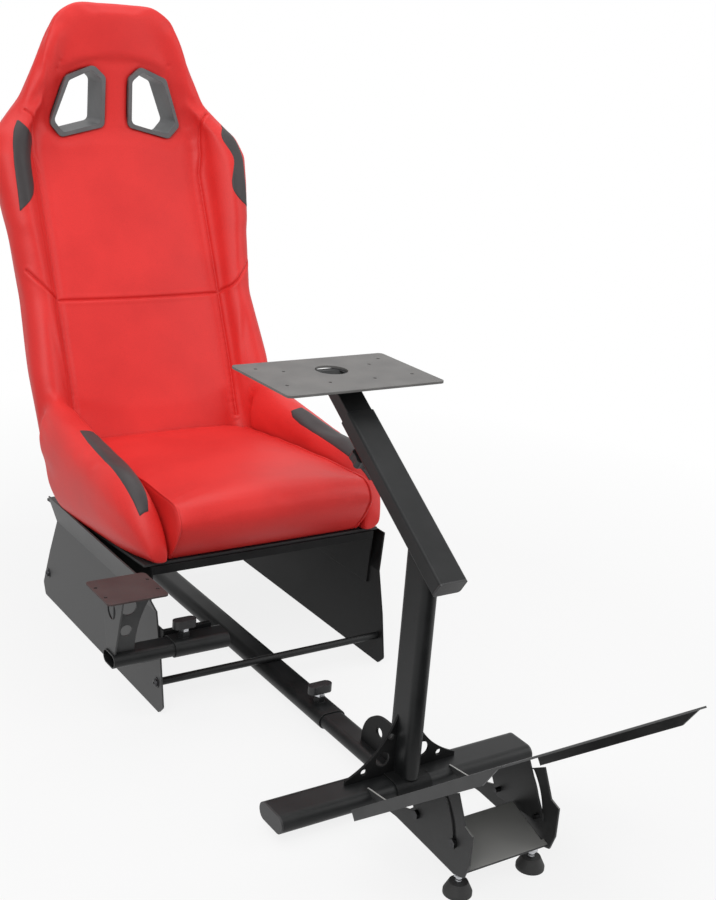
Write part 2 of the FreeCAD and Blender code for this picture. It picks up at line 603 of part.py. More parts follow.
def cheek_bolts(y, z, head_gap):
    # one bolt per cheek, head outside the cheek, shank through the ear
    bolts = []
    for s in (-1, 1):
        out = CHEEK_X + head_gap
        shank = cyl(BOLT_R, BOLT_LONG, (s * out, y, z), (-s, 0, 0))
        head = hex_prism(BOLT_HEAD_W, BOLT_HEAD_H, (s * out, y, z), (s, 0, 0))
        bolts.append(joined([shank, head]))
    return Part.makeCompound(bolts)


def foot(side):
    # rubber levelling foot with its threaded stud and lock nut
    x = side * FOOT_X
    profile = [(0, 0), (FOOT_R, 0), (FOOT_R, FOOT_RIM), (FOOT_R * FOOT_NECK, FOOT_H), (0, FOOT_H)]
    pad = polygon([(r, 0, z) for r, z in profile]).revolve(V(0, 0, 0), V(0, 0, 1), 360)
    pad.translate(V(x, FOOT_Y, 0))
    stud = cyl(FOOT_STUD_R, FOOT_STUD_LONG, (x, FOOT_Y, FOOT_H), (0, 0, 1))
    nut = hex_prism(FOOT_NUT_W, FOOT_NUT_H, (x, FOOT_Y, FOOT_TAB_Z - FOOT_NUT_H - SLIDE_GAP), (0, 0, 1))
    return pad, joined([stud, nut])


def shifter_sleeve():
    length = SLEEVE_IN - SLEEVE_OUT
    place = bar_place(SLEEVE_OUT, SLEEVE_Y, SLEEVE_Z)
    tube = oval_tube(TUBE_W, TUBE_H, length, place)
    at = (SHIFT_KNOB_X, SLEEVE_Y, SLEEVE_Z + TUBE_H / 2.0 - WELD_IN)
    boss = hex_prism(NUT_W, BOSS_H + WELD_IN, at, (0, 0, 1))
    tube = joined([tube, boss])
    return tube.cut(cyl(BOLT_R + TURN_GAP, FAR, (SHIFT_KNOB_X, SLEEVE_Y, SLEEVE_Z), (0, 0, 1)))


def sleeve_bracket():
    # angle bracket that carries the sleeve from the inside of the right side plate
    y0 = SLEEVE_Y + TUBE_W / 2.0 - 2 * SHEET
    inner = -PLATE_X + SHEET
    low, high = SLEEVE_Z - SLEEVE_TAB_H / 2.0, SLEEVE_Z + SLEEVE_TAB_H / 2.0
    panel = box(inner, SLEEVE_IN - CAP_PLUG, y0, y0 + SLEEVE_PANEL, low, high)
    tab = box(inner, inner + SHEET, y0, y0 + SLEEVE_TAB, low, high)
    room = oval_bar(TUBE_W + 2 * JOIN_GAP, TUBE_H + 2 * JOIN_GAP, FAR, bar_place(-FAR, SLEEVE_Y, SLEEVE_Z))
    return joined([panel, tab]).cut(room)


def shifter_tube():
    return oval_tube(INNER_W, INNER_H, SHIFT_TUBE, bar_place(SHIFT_END, SLEEVE_Y, SLEEVE_Z))


def shifter_bracket():
    # bent sheet: end panel and a tapering front web with cut-outs, standing on the sliding tube
    low = SLEEVE_Z + INNER_H / 2.0
    x0 = SHIFT_END + SHEET
    corners = [(SLEEVE_Y - SHIFT_FOOT, low), (SHIFT_Y0 + SHIFT_EDGE, SHIFT_TOP),
               (SHIFT_Y1 - SHIFT_EDGE, SHIFT_TOP), (SLEEVE_Y + SHIFT_FOOT, low)]
    panel = prism([(x0, y, z) for y, z in corners], (SHEET, 0, 0))
    up, r = SHIFT_PANEL_HOLE
    panel = panel.cut(cyl(r, 3 * SHEET, (x0 - SHEET, SLEEVE_Y, low + up), (1, 0, 0)))
    yw = SLEEVE_Y + SHIFT_WEB_Y
    foot, tip = (x0 + SHIFT_WEB_FOOT, yw, low), (SHIFT_X1 - SHEET, yw, SHIFT_TOP)
    edges = [
        line((x0, yw, low), foot),
        arc(foot, (x0 + SHIFT_WEB_SAG[0], yw, low + SHIFT_WEB_SAG[1]), tip),
        line(tip, (x0, yw, SHIFT_TOP)),
        line((x0, yw, SHIFT_TOP), (x0, yw, low)),
    ]
    web = Part.Face(Part.Wire(edges)).extrude(V(0, SHEET, 0))
    for x, z, r in SHIFT_WEB_HOLES:
        web = web.cut(cyl(r, 3 * SHEET, (x0 + x, yw - SHEET, low + z), (0, 1, 0)))
    return joined([panel, web])


def shifter_plate():
    plate = box(SHIFT_X0, SHIFT_X1, SHIFT_Y0, SHIFT_Y1, SHIFT_TOP, SHIFT_TOP + SHEET)
    ups = [e for e in plate.Edges if abs(e.Vertexes[0].Z - e.Vertexes[-1].Z) > 1]
    plate = plate.makeFillet(SHIFT_ROUND, ups)
    cx, cy = (SHIFT_X0 + SHIFT_X1) / 2, (SHIFT_Y0 + SHIFT_Y1) / 2
    for sx in (-1, 1):
        for sy in (-1, 1):
            at = (cx + sx * SHIFT_HOLE_DX / 2, cy + sy * SHIFT_HOLE_DY / 2, SHIFT_TOP - SHEET)
            plate = plate.cut(cyl(SHIFT_HOLE_R, 3 * SHEET, at, (0, 0, 1)))
    return plate


def pan_z(y):
    t = (y - PAN_FRONT_Y) / (PAN_REAR_Y - PAN_FRONT_Y)
    return PAN_FRONT_Z + t * (PAN_REAR_Z - PAN_FRONT_Z)


def sloped_slab(half, y0, y1, low, high):
    # slab following the pan slope, low and high measured from the pan top
    return prism([(-half, y0, pan_z(y0) + low), (-half, y1, pan_z(y1) + low), (-half, y1, pan_z(y1) + high),
                  (-half, y0, pan_z(y0) + high)], (2 * half, 0, 0))


def seat_pan():
    # sloping sheet between the side plates, with deep side skirts and a front lip
    half = PLATE_X - SHEET
    parts = [sloped_slab(half, PAN_FRONT_Y, PAN_REAR_Y, -SHEET, 0)]
    under = -SHEET / 2.0
    lip_low, lip_high = PAN_FRONT_Z - PAN_LIP, PAN_FRONT_Z + under
    parts.append(box(-half, half, PAN_FRONT_Y, PAN_FRONT_Y + SHEET, lip_low, lip_high))
    skirt = [(PAN_FRONT_Y, lip_high), (PAN_FRONT_Y + 2 * SHEET, PAN_SKIRT_Z), (PAN_SKIRT_REAR, PAN_SKIRT_Z),
             (PAN_SKIRT_REAR, pan_z(PAN_SKIRT_REAR) + under)]
    for s in (-1, 1):
        x0 = half - SHEET if s > 0 else -half
        parts.append(prism([(x0, y, z) for y, z in skirt], (SHEET, 0, 0)))
    pan = joined(parts)
    y0, y1 = PAN_HOLE_Y
    for s in (-1, 1):
        x = s * PAN_HOLE_X
        pan = pan.cut(box(x - PAN_HOLE_HALF, x + PAN_HOLE_HALF, y0, y1, 0, FAR))
    return pan


def back_points(row):
    z, yc, w, a, t, crown = row
    c = min(SEAM_X, w * SEAM_SHARE)
    tip = c + (w - c) * TIP_SHARE
    inner = c + (w - c) * INNER_SHARE
    return z, yc, w, a, t, crown, c, tip, inner


def back_section(row):
    # one level slice of the upholstered back: crowned centre, wings curling forward, rounded rear
    z, yc, w, a, t, crown, c, tip, inner = back_points(row)
    rear = w * REAR_WIDE
    side_y = yc - a * 0.35 + t * 0.15
    rear_y = yc + t * REAR_DEEP

    def half(s):
        return [
            arc((s * c, yc, z), (s * (c + inner) / 2, yc - a * 0.12, z), (s * inner, yc - a * 0.36, z)),
            arc((s * inner, yc - a * 0.36, z), (s * (inner + (tip - inner) * 0.42), yc - a * 0.82, z),
                (s * tip, yc - a, z)),
            arc((s * tip, yc - a, z), (s * (tip + (w - tip) * 0.74), yc - a * 0.83, z), (s * w, side_y, z)),
            arc((s * w, side_y, z), (s * (w - (w - rear) * 0.28), (side_y + rear_y) / 2 + t * 0.1, z),
                (s * rear, rear_y, z)),
        ]
    edges = [arc((-c, yc, z), (0, yc - crown, z), (c, yc, z))]
    edges += half(1)
    edges.append(arc((rear, rear_y, z), (0, yc + t, z), (-rear, rear_y, z)))
    edges += half(-1)
    return Part.Wire(Part.__sortEdges__(edges))


def back_body():
    return Part.makeLoft([back_section(r) for r in BACK], True, True)


def rear_room(y):
    # everything behind a leaning plane, where the back takes over from the seat base
    z = BACK[1][0]
    low, high, back = z - FAR, z + FAR, BACK[-1][1] + FAR
    edge = [(-FAR, y + (h - z) * REAR_LEAN, h) for h in (low, high)]
    return prism([edge[0], edge[1], (-FAR, back, high), (-FAR, back, low)], (2 * FAR, 0, 0))


def shell_section(row, z):
    # crescent behind one slice of the back
    c = back_points(row)
    yc, w, t = c[1], c[2], c[4]
    rear = w * REAR_WIDE
    rear_y = yc + t * REAR_DEEP + SOFT_GAP
    near = [(-rear, rear_y, z), (0, yc + t + SOFT_GAP, z), (rear, rear_y, z)]
    far = [(x, y + SHELL_T, z) for x, y, z in near]
    edges = [arc(*near), line(near[2], far[2]), arc(*reversed(far)), line(far[0], near[0])]
    return Part.Wire(edges)


def harness_prism(grow, y0, y1, corner=0.0):
    # straight prism through one harness opening, outline grown by an amount
    cx = sum(p[0] for p in HARNESS) / len(HARNESS)
    cz = sum(p[1] for p in HARNESS) / len(HARNESS)
    pts = []
    for x, z in HARNESS:
        d = math.hypot(x - cx, z - cz)
        pts.append((cx + (x - cx) * (d + grow) / d, y0, cz + (z - cz) * (d + grow) / d))
    solid = prism(pts, (0, y1 - y0, 0))
    if corner > 0:
        ups = [e for e in solid.Edges if abs(e.Vertexes[0].Y - e.Vertexes[-1].Y) > 1]
        solid = solid.makeFillet(corner, ups)
    return solid


def harness_bezel(side):
    # moulded frame through the back: a flange on the front and a straight sleeve
    sleeve = harness_prism(HOLE_INSET, BEZEL_FRONT + SHEET, BEZEL_FRONT + BEZEL_DEEP)
    flange = harness_prism(0.0, BEZEL_FRONT, BEZEL_FRONT + BEZEL_FLANGE, HARNESS_ROUND)
    room = harness_prism(-BEZEL_W, BEZEL_FRONT - FAR, BEZEL_FRONT + FAR, HARNESS_ROUND)
    bezel = joined([sleeve, flange]).cut(room)
    return bezel if side > 0 else mirrored(bezel)


def holes_both(grow, y0, y1):
    hole = harness_prism(grow, y0, y1)
    return [hole, mirrored(hole)]


def seat_shell():
    # hard moulded tub: back shell running down into the base tray
    foot_row = BACK[0]
    low = pan_z(foot_row[1] + foot_row[4])
    back = Part.makeLoft([shell_section(r, r[0]) for r in BACK if r[0] <= SHELL_TOP], True, True)
    strip = [shell_section(foot_row, low + TRAY_T / 2.0), shell_section(foot_row, foot_row[0])]
    foot_strip = Part.makeLoft(strip, True, True)
    tray = sloped_slab(TRAY_HALF, PAN_FRONT_Y + TRAY_SET, foot_row[1] + foot_row[4], JOIN_GAP, TRAY_T)
    shell = joined([back, foot_strip, tray])
    for hole in holes_both(HOLE_INSET + SOFT_GAP, BEZEL_FRONT - FAR, BEZEL_FRONT + FAR):
        shell = shell.cut(hole)
    return shell


def plan_prism(grow):
    # plan of the seat cushion between the thigh bolsters
    front, rear = CUSHION_FRONT_HALF + grow, CUSHION_REAR_HALF + grow
    y0, y1 = CUSHION_PLAN_FRONT, CUSHION_PLAN_REAR
    return prism([(-front, y0, 0), (front, y0, 0), (rear, y1, 0), (-rear, y1, 0)], (0, 0, 2 * FAR))


def seat_cushion():
    # crowned cushion with a rolled front that tucks under
    rear_y = CUSHION_TOP[0][0]
    wires = []
    for x, drop, pull in CUSHION:
        rear, middle, front = [(x, y, z - drop) for y, z in CUSHION_TOP]
        brow, nose = [(x, y + pull, z - drop) for y, z in CUSHION_NOSE]
        under = (x, CUSHION_UNDER[0][0] + pull, CUSHION_UNDER[0][1])
        chin = (x,) + CUSHION_UNDER[1]
        heel = (x, rear_y, pan_z(rear_y))
        edges = [arc(rear, middle, front), arc(front, brow, nose), arc(nose, under, chin), line(chin, heel),
                 line(heel, rear)]
        wires.append(Part.Wire(edges))
    pad = Part.makeLoft(wires, True, False)
    tray = sloped_slab(FAR, 0, 2 * rear_y, -FAR, TRAY_T + SOFT_GAP)
    return pad.common(plan_prism(-SOFT_GAP / 2)).cut(rear_room(CUSHION_REAR)).cut(tray)


def flare_room():
    # space of one side-plate flare, kept free by the bolster that leans over it
    top = BEND_Z + FLARE_UP + SHEET
    rise = (FLARE_UP + SHEET) / FLARE_UP
    low, high = PLATE_X - SHEET - 2 * SOFT_GAP, PLATE_X - SHEET - 2 * SOFT_GAP + FLARE_OUT * rise
    return prism([(low, 0, BEND_Z), (high, 0, top), (FAR, 0, top), (FAR, 0, BEND_Z)], (0, 3 * FAR, 0))


def thigh_bolster(side):
    # raised side of the seat base, running back into the wing of the backrest
    wires = []
    for y, crest, inner, crest_off, outer_off in THIGH:
        mid, outer = PLATE_X + crest_off, PLATE_X + outer_off
        low = pan_z(y) + TRAY_T + SOFT_GAP
        knee = low + (crest - low) * 0.5
        brow = crest - (crest - knee) * 0.25
        edges = [
            line((inner, y, low), (inner, y, knee)),
            arc((inner, y, knee), (inner + (mid - inner) * 0.3, y, brow), (mid, y, crest)),
            arc((mid, y, crest), (mid + (outer - mid) * 0.76, y, brow), (outer, y, knee)),
            arc((outer, y, knee), (outer - THIGH_BULGE, y, (knee + low) / 2), (outer - THIGH_TUCK, y, low)),
            line((outer - THIGH_TUCK, y, low), (inner, y, low)),
        ]
        wires.append(Part.Wire(edges))
    roll = Part.makeLoft(wires, True, False)
    roll = roll.cut(rear_room(THIGH_REAR)).cut(plan_prism(SOFT_GAP / 2)).cut(flare_room())
    return roll if side > 0 else mirrored(roll)


def back_pad():
    # centre panel of the back with the headrest above the shoulder seam
    half = SEAM_X - SOFT_GAP / 2
    body = back_body()
    rear, top = BACK[-1][1] + FAR, BACK[-1][0] + FAR
    head = box(-FAR, FAR, 0, rear, SHOULDER_Z + SOFT_GAP / 2, top)
    pad = body.common(joined([box(-half, half, 0, rear, 0, top), head]))
    for hole in holes_both(HOLE_INSET + SOFT_GAP, BEZEL_FRONT - FAR, BEZEL_FRONT + FAR):
        pad = pad.cut(hole)
    for hole in holes_both(SOFT_GAP, BEZEL_FRONT - FAR, BEZEL_FRONT + BEZEL_FLANGE + SOFT_GAP):
        pad = pad.cut(hole)
    return pad


def back_bolster(side):
    # wing of the backrest from the hip to the shoulder
    rear = BACK[-1][1] + FAR
    wing = back_body().common(box(SEAM_X + SOFT_GAP / 2, FAR, 0, rear, 0, SHOULDER_Z - SOFT_GAP / 2))
    return wing if side > 0 else mirrored(wing)


pieces = {}
pieces["right_side_plate"] = side_plate(-1)
pieces["left_side_plate"] = side_plate(1)
pieces["base_spine"] = base_spine()
pieces["cross_rods"] = cross_rods()
pieces["seat_pan"] = seat_pan()
pieces["seat_shell"] = seat_shell()
pieces["seat_cushion"] = seat_cushion()
pieces["back_pad"] = back_pad()
pieces["right_back_bolster"] = back_bolster(-1)
pieces["left_back_bolster"] = back_bolster(1)
pieces["right_thigh_bolster"] = thigh_bolster(-1)
pieces["left_thigh_bolster"] = thigh_bolster(1)
pieces["right_harness_bezel"] = harness_bezel(-1)
pieces["left_harness_bezel"] = harness_bezel(1)
pieces["sleeve_bracket"] = sleeve_bracket()
pieces["shifter_sleeve"] = shifter_sleeve()
pieces["shifter_tube"] = shifter_tube()
pieces["shifter_bracket"] = shifter_bracket()
pieces["shifter_plate"] = shifter_plate()
pieces["beam_inner"] = beam_inner()
pieces["crossbar"] = crossbar()
pieces["crossbar_caps"] = crossbar_caps()
pieces["post_saddle"] = post_saddle()
pieces["steering_post"] = steering_post()
pieces["right_post_gusset"] = post_gusset(-1)
pieces["left_post_gusset"] = post_gusset(1)
pieces["beam_stay"] = beam_stay()
pieces["arm_tube"] = arm_tube()
pieces["arm_cap"] = arm_cap()
pieces["wheel_neck"] = wheel_neck()
pieces["wheel_collar"] = wheel_collar()
pieces["wheel_plate"] = wheel_plate()
pieces["pedal_bracket"] = pedal_bracket()
pieces["pedal_plate"] = pedal_plate()
pieces["right_pedal_ear"] = pedal_ear(-1)
pieces["left_pedal_ear"] = pedal_ear(1)
pieces["pedal_pivot_bolts"] = cheek_bolts(PIVOT_Y, PIVOT_Z, 0.0)
pieces["pedal_lock_bolts"] = cheek_bolts(lock_point(LOCK_DEG)[0], lock_point(LOCK_DEG)[1], EAR_GAP)
for side, name in ((-1, "right"), (1, "left")):
    pad, stud = foot(side)
    pieces[name + "_foot_pad"] = pad
    pieces[name + "_foot_stud"] = stud
beam_top = BEAM_Z + TUBE_H / 2.0 + BOSS_H
sleeve_top = SLEEVE_Z + TUBE_H / 2.0 + BOSS_H
lift = KNOB_HUB + SLIDE_GAP
stud_long = BOSS_H + WALL
arm_under = -ARM_H / 2.0 - BOSS_H - lift
knobs = {
    "beam_knob": (oval(BEAM_KNOB[0], BEAM_KNOB[1]), KNOB_H, BEAM_KNOB[2],
                  (0, BEAM_KNOB_Y, beam_top + lift), (0, 0, 1)),
    "shifter_knob": (oval(SHIFT_KNOB[0], SHIFT_KNOB[1]), KNOB_H, SHIFT_KNOB[2],
                     (SHIFT_KNOB_X, SLEEVE_Y, sleeve_top + lift), (0, 0, 1)),
    "arm_knob": (star_face(STAR_R, STAR_LOBES), STAR_H, STAR_NECK,
                 arm_point(ARM_KNOB_S, arm_under), arm_down()),
}
for name, (face, height, neck, base, axis) in knobs.items():
    knob, stud = knob_and_stud(face, height, neck, base, axis, stud_long)
    pieces[name] = knob
    pieces[name + "_stud"] = stud

for name, shape in pieces.items():
    shape.exportStep("parts/" + name + ".step")
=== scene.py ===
import math
import bmesh
import bpy
import numpy as np
from mathutils import Matrix, Vector
from mathutils.bvhtree import BVHTree
from mathutils.kdtree import KDTree


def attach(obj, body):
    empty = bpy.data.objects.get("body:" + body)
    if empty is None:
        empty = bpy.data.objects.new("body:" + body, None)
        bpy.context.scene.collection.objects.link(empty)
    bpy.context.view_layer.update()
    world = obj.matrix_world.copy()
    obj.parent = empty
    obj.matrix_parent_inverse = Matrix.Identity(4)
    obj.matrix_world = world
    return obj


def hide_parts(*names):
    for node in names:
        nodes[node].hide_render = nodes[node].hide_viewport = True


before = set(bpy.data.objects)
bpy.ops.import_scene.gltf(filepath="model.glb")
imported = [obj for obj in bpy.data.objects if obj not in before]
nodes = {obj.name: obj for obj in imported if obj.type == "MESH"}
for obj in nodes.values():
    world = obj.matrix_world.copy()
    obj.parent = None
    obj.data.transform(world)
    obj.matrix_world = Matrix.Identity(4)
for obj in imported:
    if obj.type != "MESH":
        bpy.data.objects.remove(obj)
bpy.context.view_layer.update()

# Studio: a white paper floor under soft light; it keeps a faint shadow near the seat and runs out to plain white.
# The camera stands in front of the seat at the sitter's right, a little above seat height, slightly rolled.
PAPER_HALF, PAPER_DROP, PAPER_TONE = 9, 0.0008, (0.60, 0.60, 0.60, 1)
SHADOW_HEART, SHADOW_NEAR, SHADOW_FAR, SHADOW_KEPT = (0, 0.45, 0), 0.9, 2.0, 0.16
CAMERA_PLACE = Vector((-1.1943, -1.5533, 1.2186))
CAMERA_RIGHT = Vector((0.83797, -0.54052, 0.07512))
CAMERA_UP = Vector((0.10650, 0.29699, 0.94892))
CAMERA_BACK = Vector((-0.53522, -0.78717, 0.30643))
PHOTO_WIDE, PHOTO_HIGH, FOCAL_PIXELS, SENSOR_HIGH = 716.0, 900.0, 1366.75, 24.0
WHITE, ROOM_GLOW = (1, 1, 1, 1), 0.40
# name, place, aim, size and watts of each lamp
LAMPS = (("key_light", (-2.2, -1.6, 3.2), (0, 0.5, 0.5), (2.4, 2.4), 95),
         ("fill_light", (3.0, -1.2, 2.0), (0, 0.4, 0.4), (2.0, 2.6), 38),
         ("top_light", (0.2, 1.2, 3.6), (0, 0.6, 0.4), (3.0, 3.0), 50))


def put(name, data):
    thing = bpy.data.objects.new(name, data)
    bpy.context.scene.collection.objects.link(thing)
    return thing


def add(tree, kind, settings=None):
    # a shader node with its plain values set
    node = tree.nodes.new(kind)
    for socket, value in (settings or {}).items():
        node.inputs[socket].default_value = value
    return node


def join(tree, out_node, out_name, in_node, in_name):
    tree.links.new(out_node.outputs[out_name], in_node.inputs[in_name])


def seen_directly(tree):
    # 1 for what the camera, a shiny surface or a clear one looks at
    path = add(tree, "ShaderNodeLightPath")
    first = add(tree, "ShaderNodeMath")
    join(tree, path, "Is Camera Ray", first, 0)
    join(tree, path, "Is Glossy Ray", first, 1)
    both = add(tree, "ShaderNodeMath")
    both.use_clamp = True
    join(tree, first, 0, both, 0)
    join(tree, path, "Is Transmission Ray", both, 1)
    return both


floor_mesh = bpy.data.meshes.new("studio_floor")
floor_corners = [(x * PAPER_HALF, y * PAPER_HALF, 0) for x, y in ((-1, -1), (1, -1), (1, 1), (-1, 1))]
floor_mesh.from_pydata(floor_corners, [], [(0, 1, 2, 3)])
floor = put("studio_floor", floor_mesh)
floor.location.z = -PAPER_DROP

paper = bpy.data.materials.new("studio_paper")
paper.use_nodes = True
sheet_tree = paper.node_tree
paper_shader = sheet_tree.nodes["Principled BSDF"]
paper_shader.inputs["Base Color"].default_value = PAPER_TONE
paper_shader.inputs["Roughness"].default_value = 0.9
paper_place = add(sheet_tree, "ShaderNodeTexCoord")
paper_reach = add(sheet_tree, "ShaderNodeVectorMath", {1: SHADOW_HEART})
paper_reach.operation = "DISTANCE"
join(sheet_tree, paper_place, "Object", paper_reach, 0)
paper_fade = add(sheet_tree, "ShaderNodeMapRange",
                 {"From Min": SHADOW_NEAR, "From Max": SHADOW_FAR, "To Min": 1 - SHADOW_KEPT})
join(sheet_tree, paper_reach, "Value", paper_fade, "Value")
paper_seen = add(sheet_tree, "ShaderNodeMath")
paper_seen.operation = "MULTIPLY"
join(sheet_tree, paper_fade, "Result", paper_seen, 0)
join(sheet_tree, seen_directly(sheet_tree), 0, paper_seen, 1)
paper_white = add(sheet_tree, "ShaderNodeEmission")
paper_mix = add(sheet_tree, "ShaderNodeMixShader")
join(sheet_tree, paper_seen, 0, paper_mix, 0)
join(sheet_tree, paper_shader, 0, paper_mix, 1)
join(sheet_tree, paper_white, 0, paper_mix, 2)
join(sheet_tree, paper_mix, 0, sheet_tree.nodes["Material Output"], "Surface")
floor_mesh.materials.append(paper)

eye = bpy.data.cameras.new("photo_camera")
eye.sensor_fit = "VERTICAL"
eye.sensor_height = SENSOR_HIGH
eye.lens = FOCAL_PIXELS / PHOTO_HIGH * SENSOR_HIGH
camera = put("photo_camera", eye)
turn = Matrix((CAMERA_RIGHT, CAMERA_UP, CAMERA_BACK)).transposed().to_4x4()
camera.matrix_world = Matrix.Translation(CAMERA_PLACE) @ turn
bpy.context.scene.camera = camera

for name, place, aim, size, watts in LAMPS:
    lamp = bpy.data.lights.new(name, "AREA")
    lamp.shape = "RECTANGLE"
    lamp.size, lamp.size_y = size
    lamp.energy = watts
    holder = put(name, lamp)
    holder.location = place
    holder.rotation_euler = (Vector(aim) - Vector(place)).to_track_quat("-Z", "Y").to_euler()

room = bpy.data.worlds.new("studio_room")
room.use_nodes = True
bpy.context.scene.world = room
air = room.node_tree
glow = air.nodes["Background"]
glow.inputs["Color"].default_value = WHITE
glow.inputs["Strength"].default_value = ROOM_GLOW
backdrop = add(air, "ShaderNodeBackground", {"Color": WHITE})
air_mix = add(air, "ShaderNodeMixShader")
join(air, seen_directly(air), 0, air_mix, 0)
join(air, glow, 0, air_mix, 1)
join(air, backdrop, 0, air_mix, 2)
join(air, air_mix, 0, air.nodes["World Output"], "Surface")
bpy.context.scene.view_settings.view_transform = "Standard"

# Right side plate, shifter bracket, pedal plate and its ears: mild steel, laser-cut, bent, welded and coated.
# The satin black powder coat has a fine orange peel, changes a little in gloss, and has a paler grey painted along
# its edges as a painted highlight.
COAT_DARK, COAT_LIGHT = (0.020, 0.0205, 0.021, 1), (0.034, 0.0345, 0.035, 1)
# tone of the painted highlight along the edges
COAT_EDGE_HIGHLIGHT = (0.085, 0.085, 0.086, 1)
COAT_ROUND, PEEL_FINE, PEEL_DEEP = 0.0012, 620, 0.0004


def new_finish(name):
    finish = bpy.data.materials.new(name)
    finish.use_nodes = True
    tree = finish.node_tree
    return finish, tree, tree.nodes["Principled BSDF"], add(tree, "ShaderNodeTexCoord")


def clouds(tree, place, shader, fine, detail, spread, tones, rough):
    # two tones in soft clouds over the surface, with the gloss going up and down along with them
    cloud = add(tree, "ShaderNodeTexNoise", {"Scale": fine, "Detail": detail})
    join(tree, place, "Object", cloud, "Vector")
    tone = add(tree, "ShaderNodeValToRGB")
    for k in range(2):
        tone.color_ramp.elements[k].position = spread[k]
        tone.color_ramp.elements[k].color = tones[k]
    join(tree, cloud, "Fac", tone, "Fac")
    haze = add(tree, "ShaderNodeMapRange", {"To Min": rough[0], "To Max": rough[1]})
    join(tree, cloud, "Fac", haze, "Value")
    join(tree, haze, "Result", shader, "Roughness")
    return tone


def mix_in_painted_light(tree, base, base_out, share, light_tone):
    # the base colour, going over to a painted light tone where share is 1
    mix = add(tree, "ShaderNodeMix")
    mix.data_type = "RGBA"
    join(tree, share, "Result", mix, "Factor")
    join(tree, base, base_out, mix, "A")
    mix.inputs["B"].default_value = light_tone
    return mix


def powder_coat(name, dark, light, edge_highlighted_tone, gloss, shine):
    coat, tree, shader, place = new_finish(name)
    shader.inputs["Specular IOR Level"].default_value = shine
    tone = clouds(tree, place, shader, 22, 5, (0.35, 0.7), (dark, light), (gloss - 0.05, gloss + 0.08))
    corner = add(tree, "ShaderNodeBevel", {"Radius": COAT_ROUND})
    corner.samples = 4
    flat = add(tree, "ShaderNodeNewGeometry")
    bend = add(tree, "ShaderNodeVectorMath")
    bend.operation = "DOT_PRODUCT"
    join(tree, corner, "Normal", bend, 0)
    join(tree, flat, "Normal", bend, 1)
    # painted highlight: at the edges, where the rounded normal turns away from the flat one, the colour goes over
    # to a paler tone
    edge_highlight_share = add(tree, "ShaderNodeMapRange", {"From Min": 0.985, "From Max": 0.86, "To Max": 0.55})
    join(tree, bend, "Value", edge_highlight_share, "Value")
    edge_highlighted = mix_in_painted_light(tree, tone, "Color", edge_highlight_share, edge_highlighted_tone)
    join(tree, edge_highlighted, "Result", shader, "Base Color")
    grain = add(tree, "ShaderNodeTexNoise", {"Scale": PEEL_FINE, "Detail": 2})
    join(tree, place, "Object", grain, "Vector")
    peel = add(tree, "ShaderNodeBump", {"Strength": 0.12, "Distance": PEEL_DEEP})
    join(tree, grain, "Fac", peel, "Height")
    join(tree, corner, "Normal", peel, "Normal")
    join(tree, peel, "Normal", shader, "Normal")
    return coat


def dress(finish, *names):
    for name in names:
        nodes[name].data.materials.clear()
        nodes[name].data.materials.append(finish)


sheet_coat = powder_coat("satin_coat_on_sheet", COAT_DARK, COAT_LIGHT, COAT_EDGE_HIGHLIGHT, gloss=0.46, shine=0.5)
dress(sheet_coat, "right_side_plate", "shifter_bracket", "pedal_plate", "right_pedal_ear", "left_pedal_ear")

# Pedal bracket: two sheet cheeks with a sloping plate between them, welded to the front of the crossbar.
# It wears the same coat, painted pale where it faces up as painted light falling on its upper faces.
TOP_PAINTED_LIGHT = (0.30, 0.30, 0.29, 1)
TOP_PAINTED_LIGHT_FROM, TOP_PAINTED_LIGHT_FULL = 0.55, 0.85
painted_top_light_coat = powder_coat("painted_top_light_coat_on_pedals", COAT_DARK, COAT_LIGHT, COAT_EDGE_HIGHLIGHT, gloss=0.5, shine=0.4)
top_light_tree = painted_top_light_coat.node_tree
top_light_shader = top_light_tree.nodes["Principled BSDF"]
whole_coat = top_light_shader.inputs["Base Color"].links[0].from_node
# painted light: faces turned up go over to a pale grey, so they read as lit
way_up = add(top_light_tree, "ShaderNodeNewGeometry")
way_parts = add(top_light_tree, "ShaderNodeSeparateXYZ")
join(top_light_tree, way_up, "Normal", way_parts, 0)
top_light_share = add(top_light_tree, "ShaderNodeMapRange", {"From Min": TOP_PAINTED_LIGHT_FROM, "From Max": TOP_PAINTED_LIGHT_FULL})
join(top_light_tree, way_parts, "Z", top_light_share, "Value")
painted_top_light = mix_in_painted_light(top_light_tree, whole_coat, "Result", top_light_share, TOP_PAINTED_LIGHT)
join(top_light_tree, painted_top_light, "Result", top_light_shader, "Base Color")
dress(painted_top_light_coat, "pedal_bracket")

# Left side plate, seat pan, sleeve bracket, and the saddle and stays at the post: the same cut and bent sheet,
# welded to the frame. Their coat is painted darker and duller here, as painted shade, since they lie almost black
# in the seat's shade.
SHADE_PAINTED_DARK, SHADE_PAINTED_LIGHT = (0.006, 0.0062, 0.0064, 1), (0.012, 0.0122, 0.0125, 1)
SHADE_PAINTED_EDGE_HIGHLIGHT = (0.045, 0.045, 0.046, 1)
# painted shade: the same coat in much darker tones, with a dimmer painted highlight on its edges
painted_shade_coat = powder_coat("painted_shade_coat_on_sheet", SHADE_PAINTED_DARK, SHADE_PAINTED_LIGHT, SHADE_PAINTED_EDGE_HIGHLIGHT, gloss=0.46, shine=0.12)
dress(painted_shade_coat, "left_side_plate", "seat_pan", "sleeve_bracket", "right_post_gusset", "left_post_gusset",
      "beam_stay", "post_saddle")

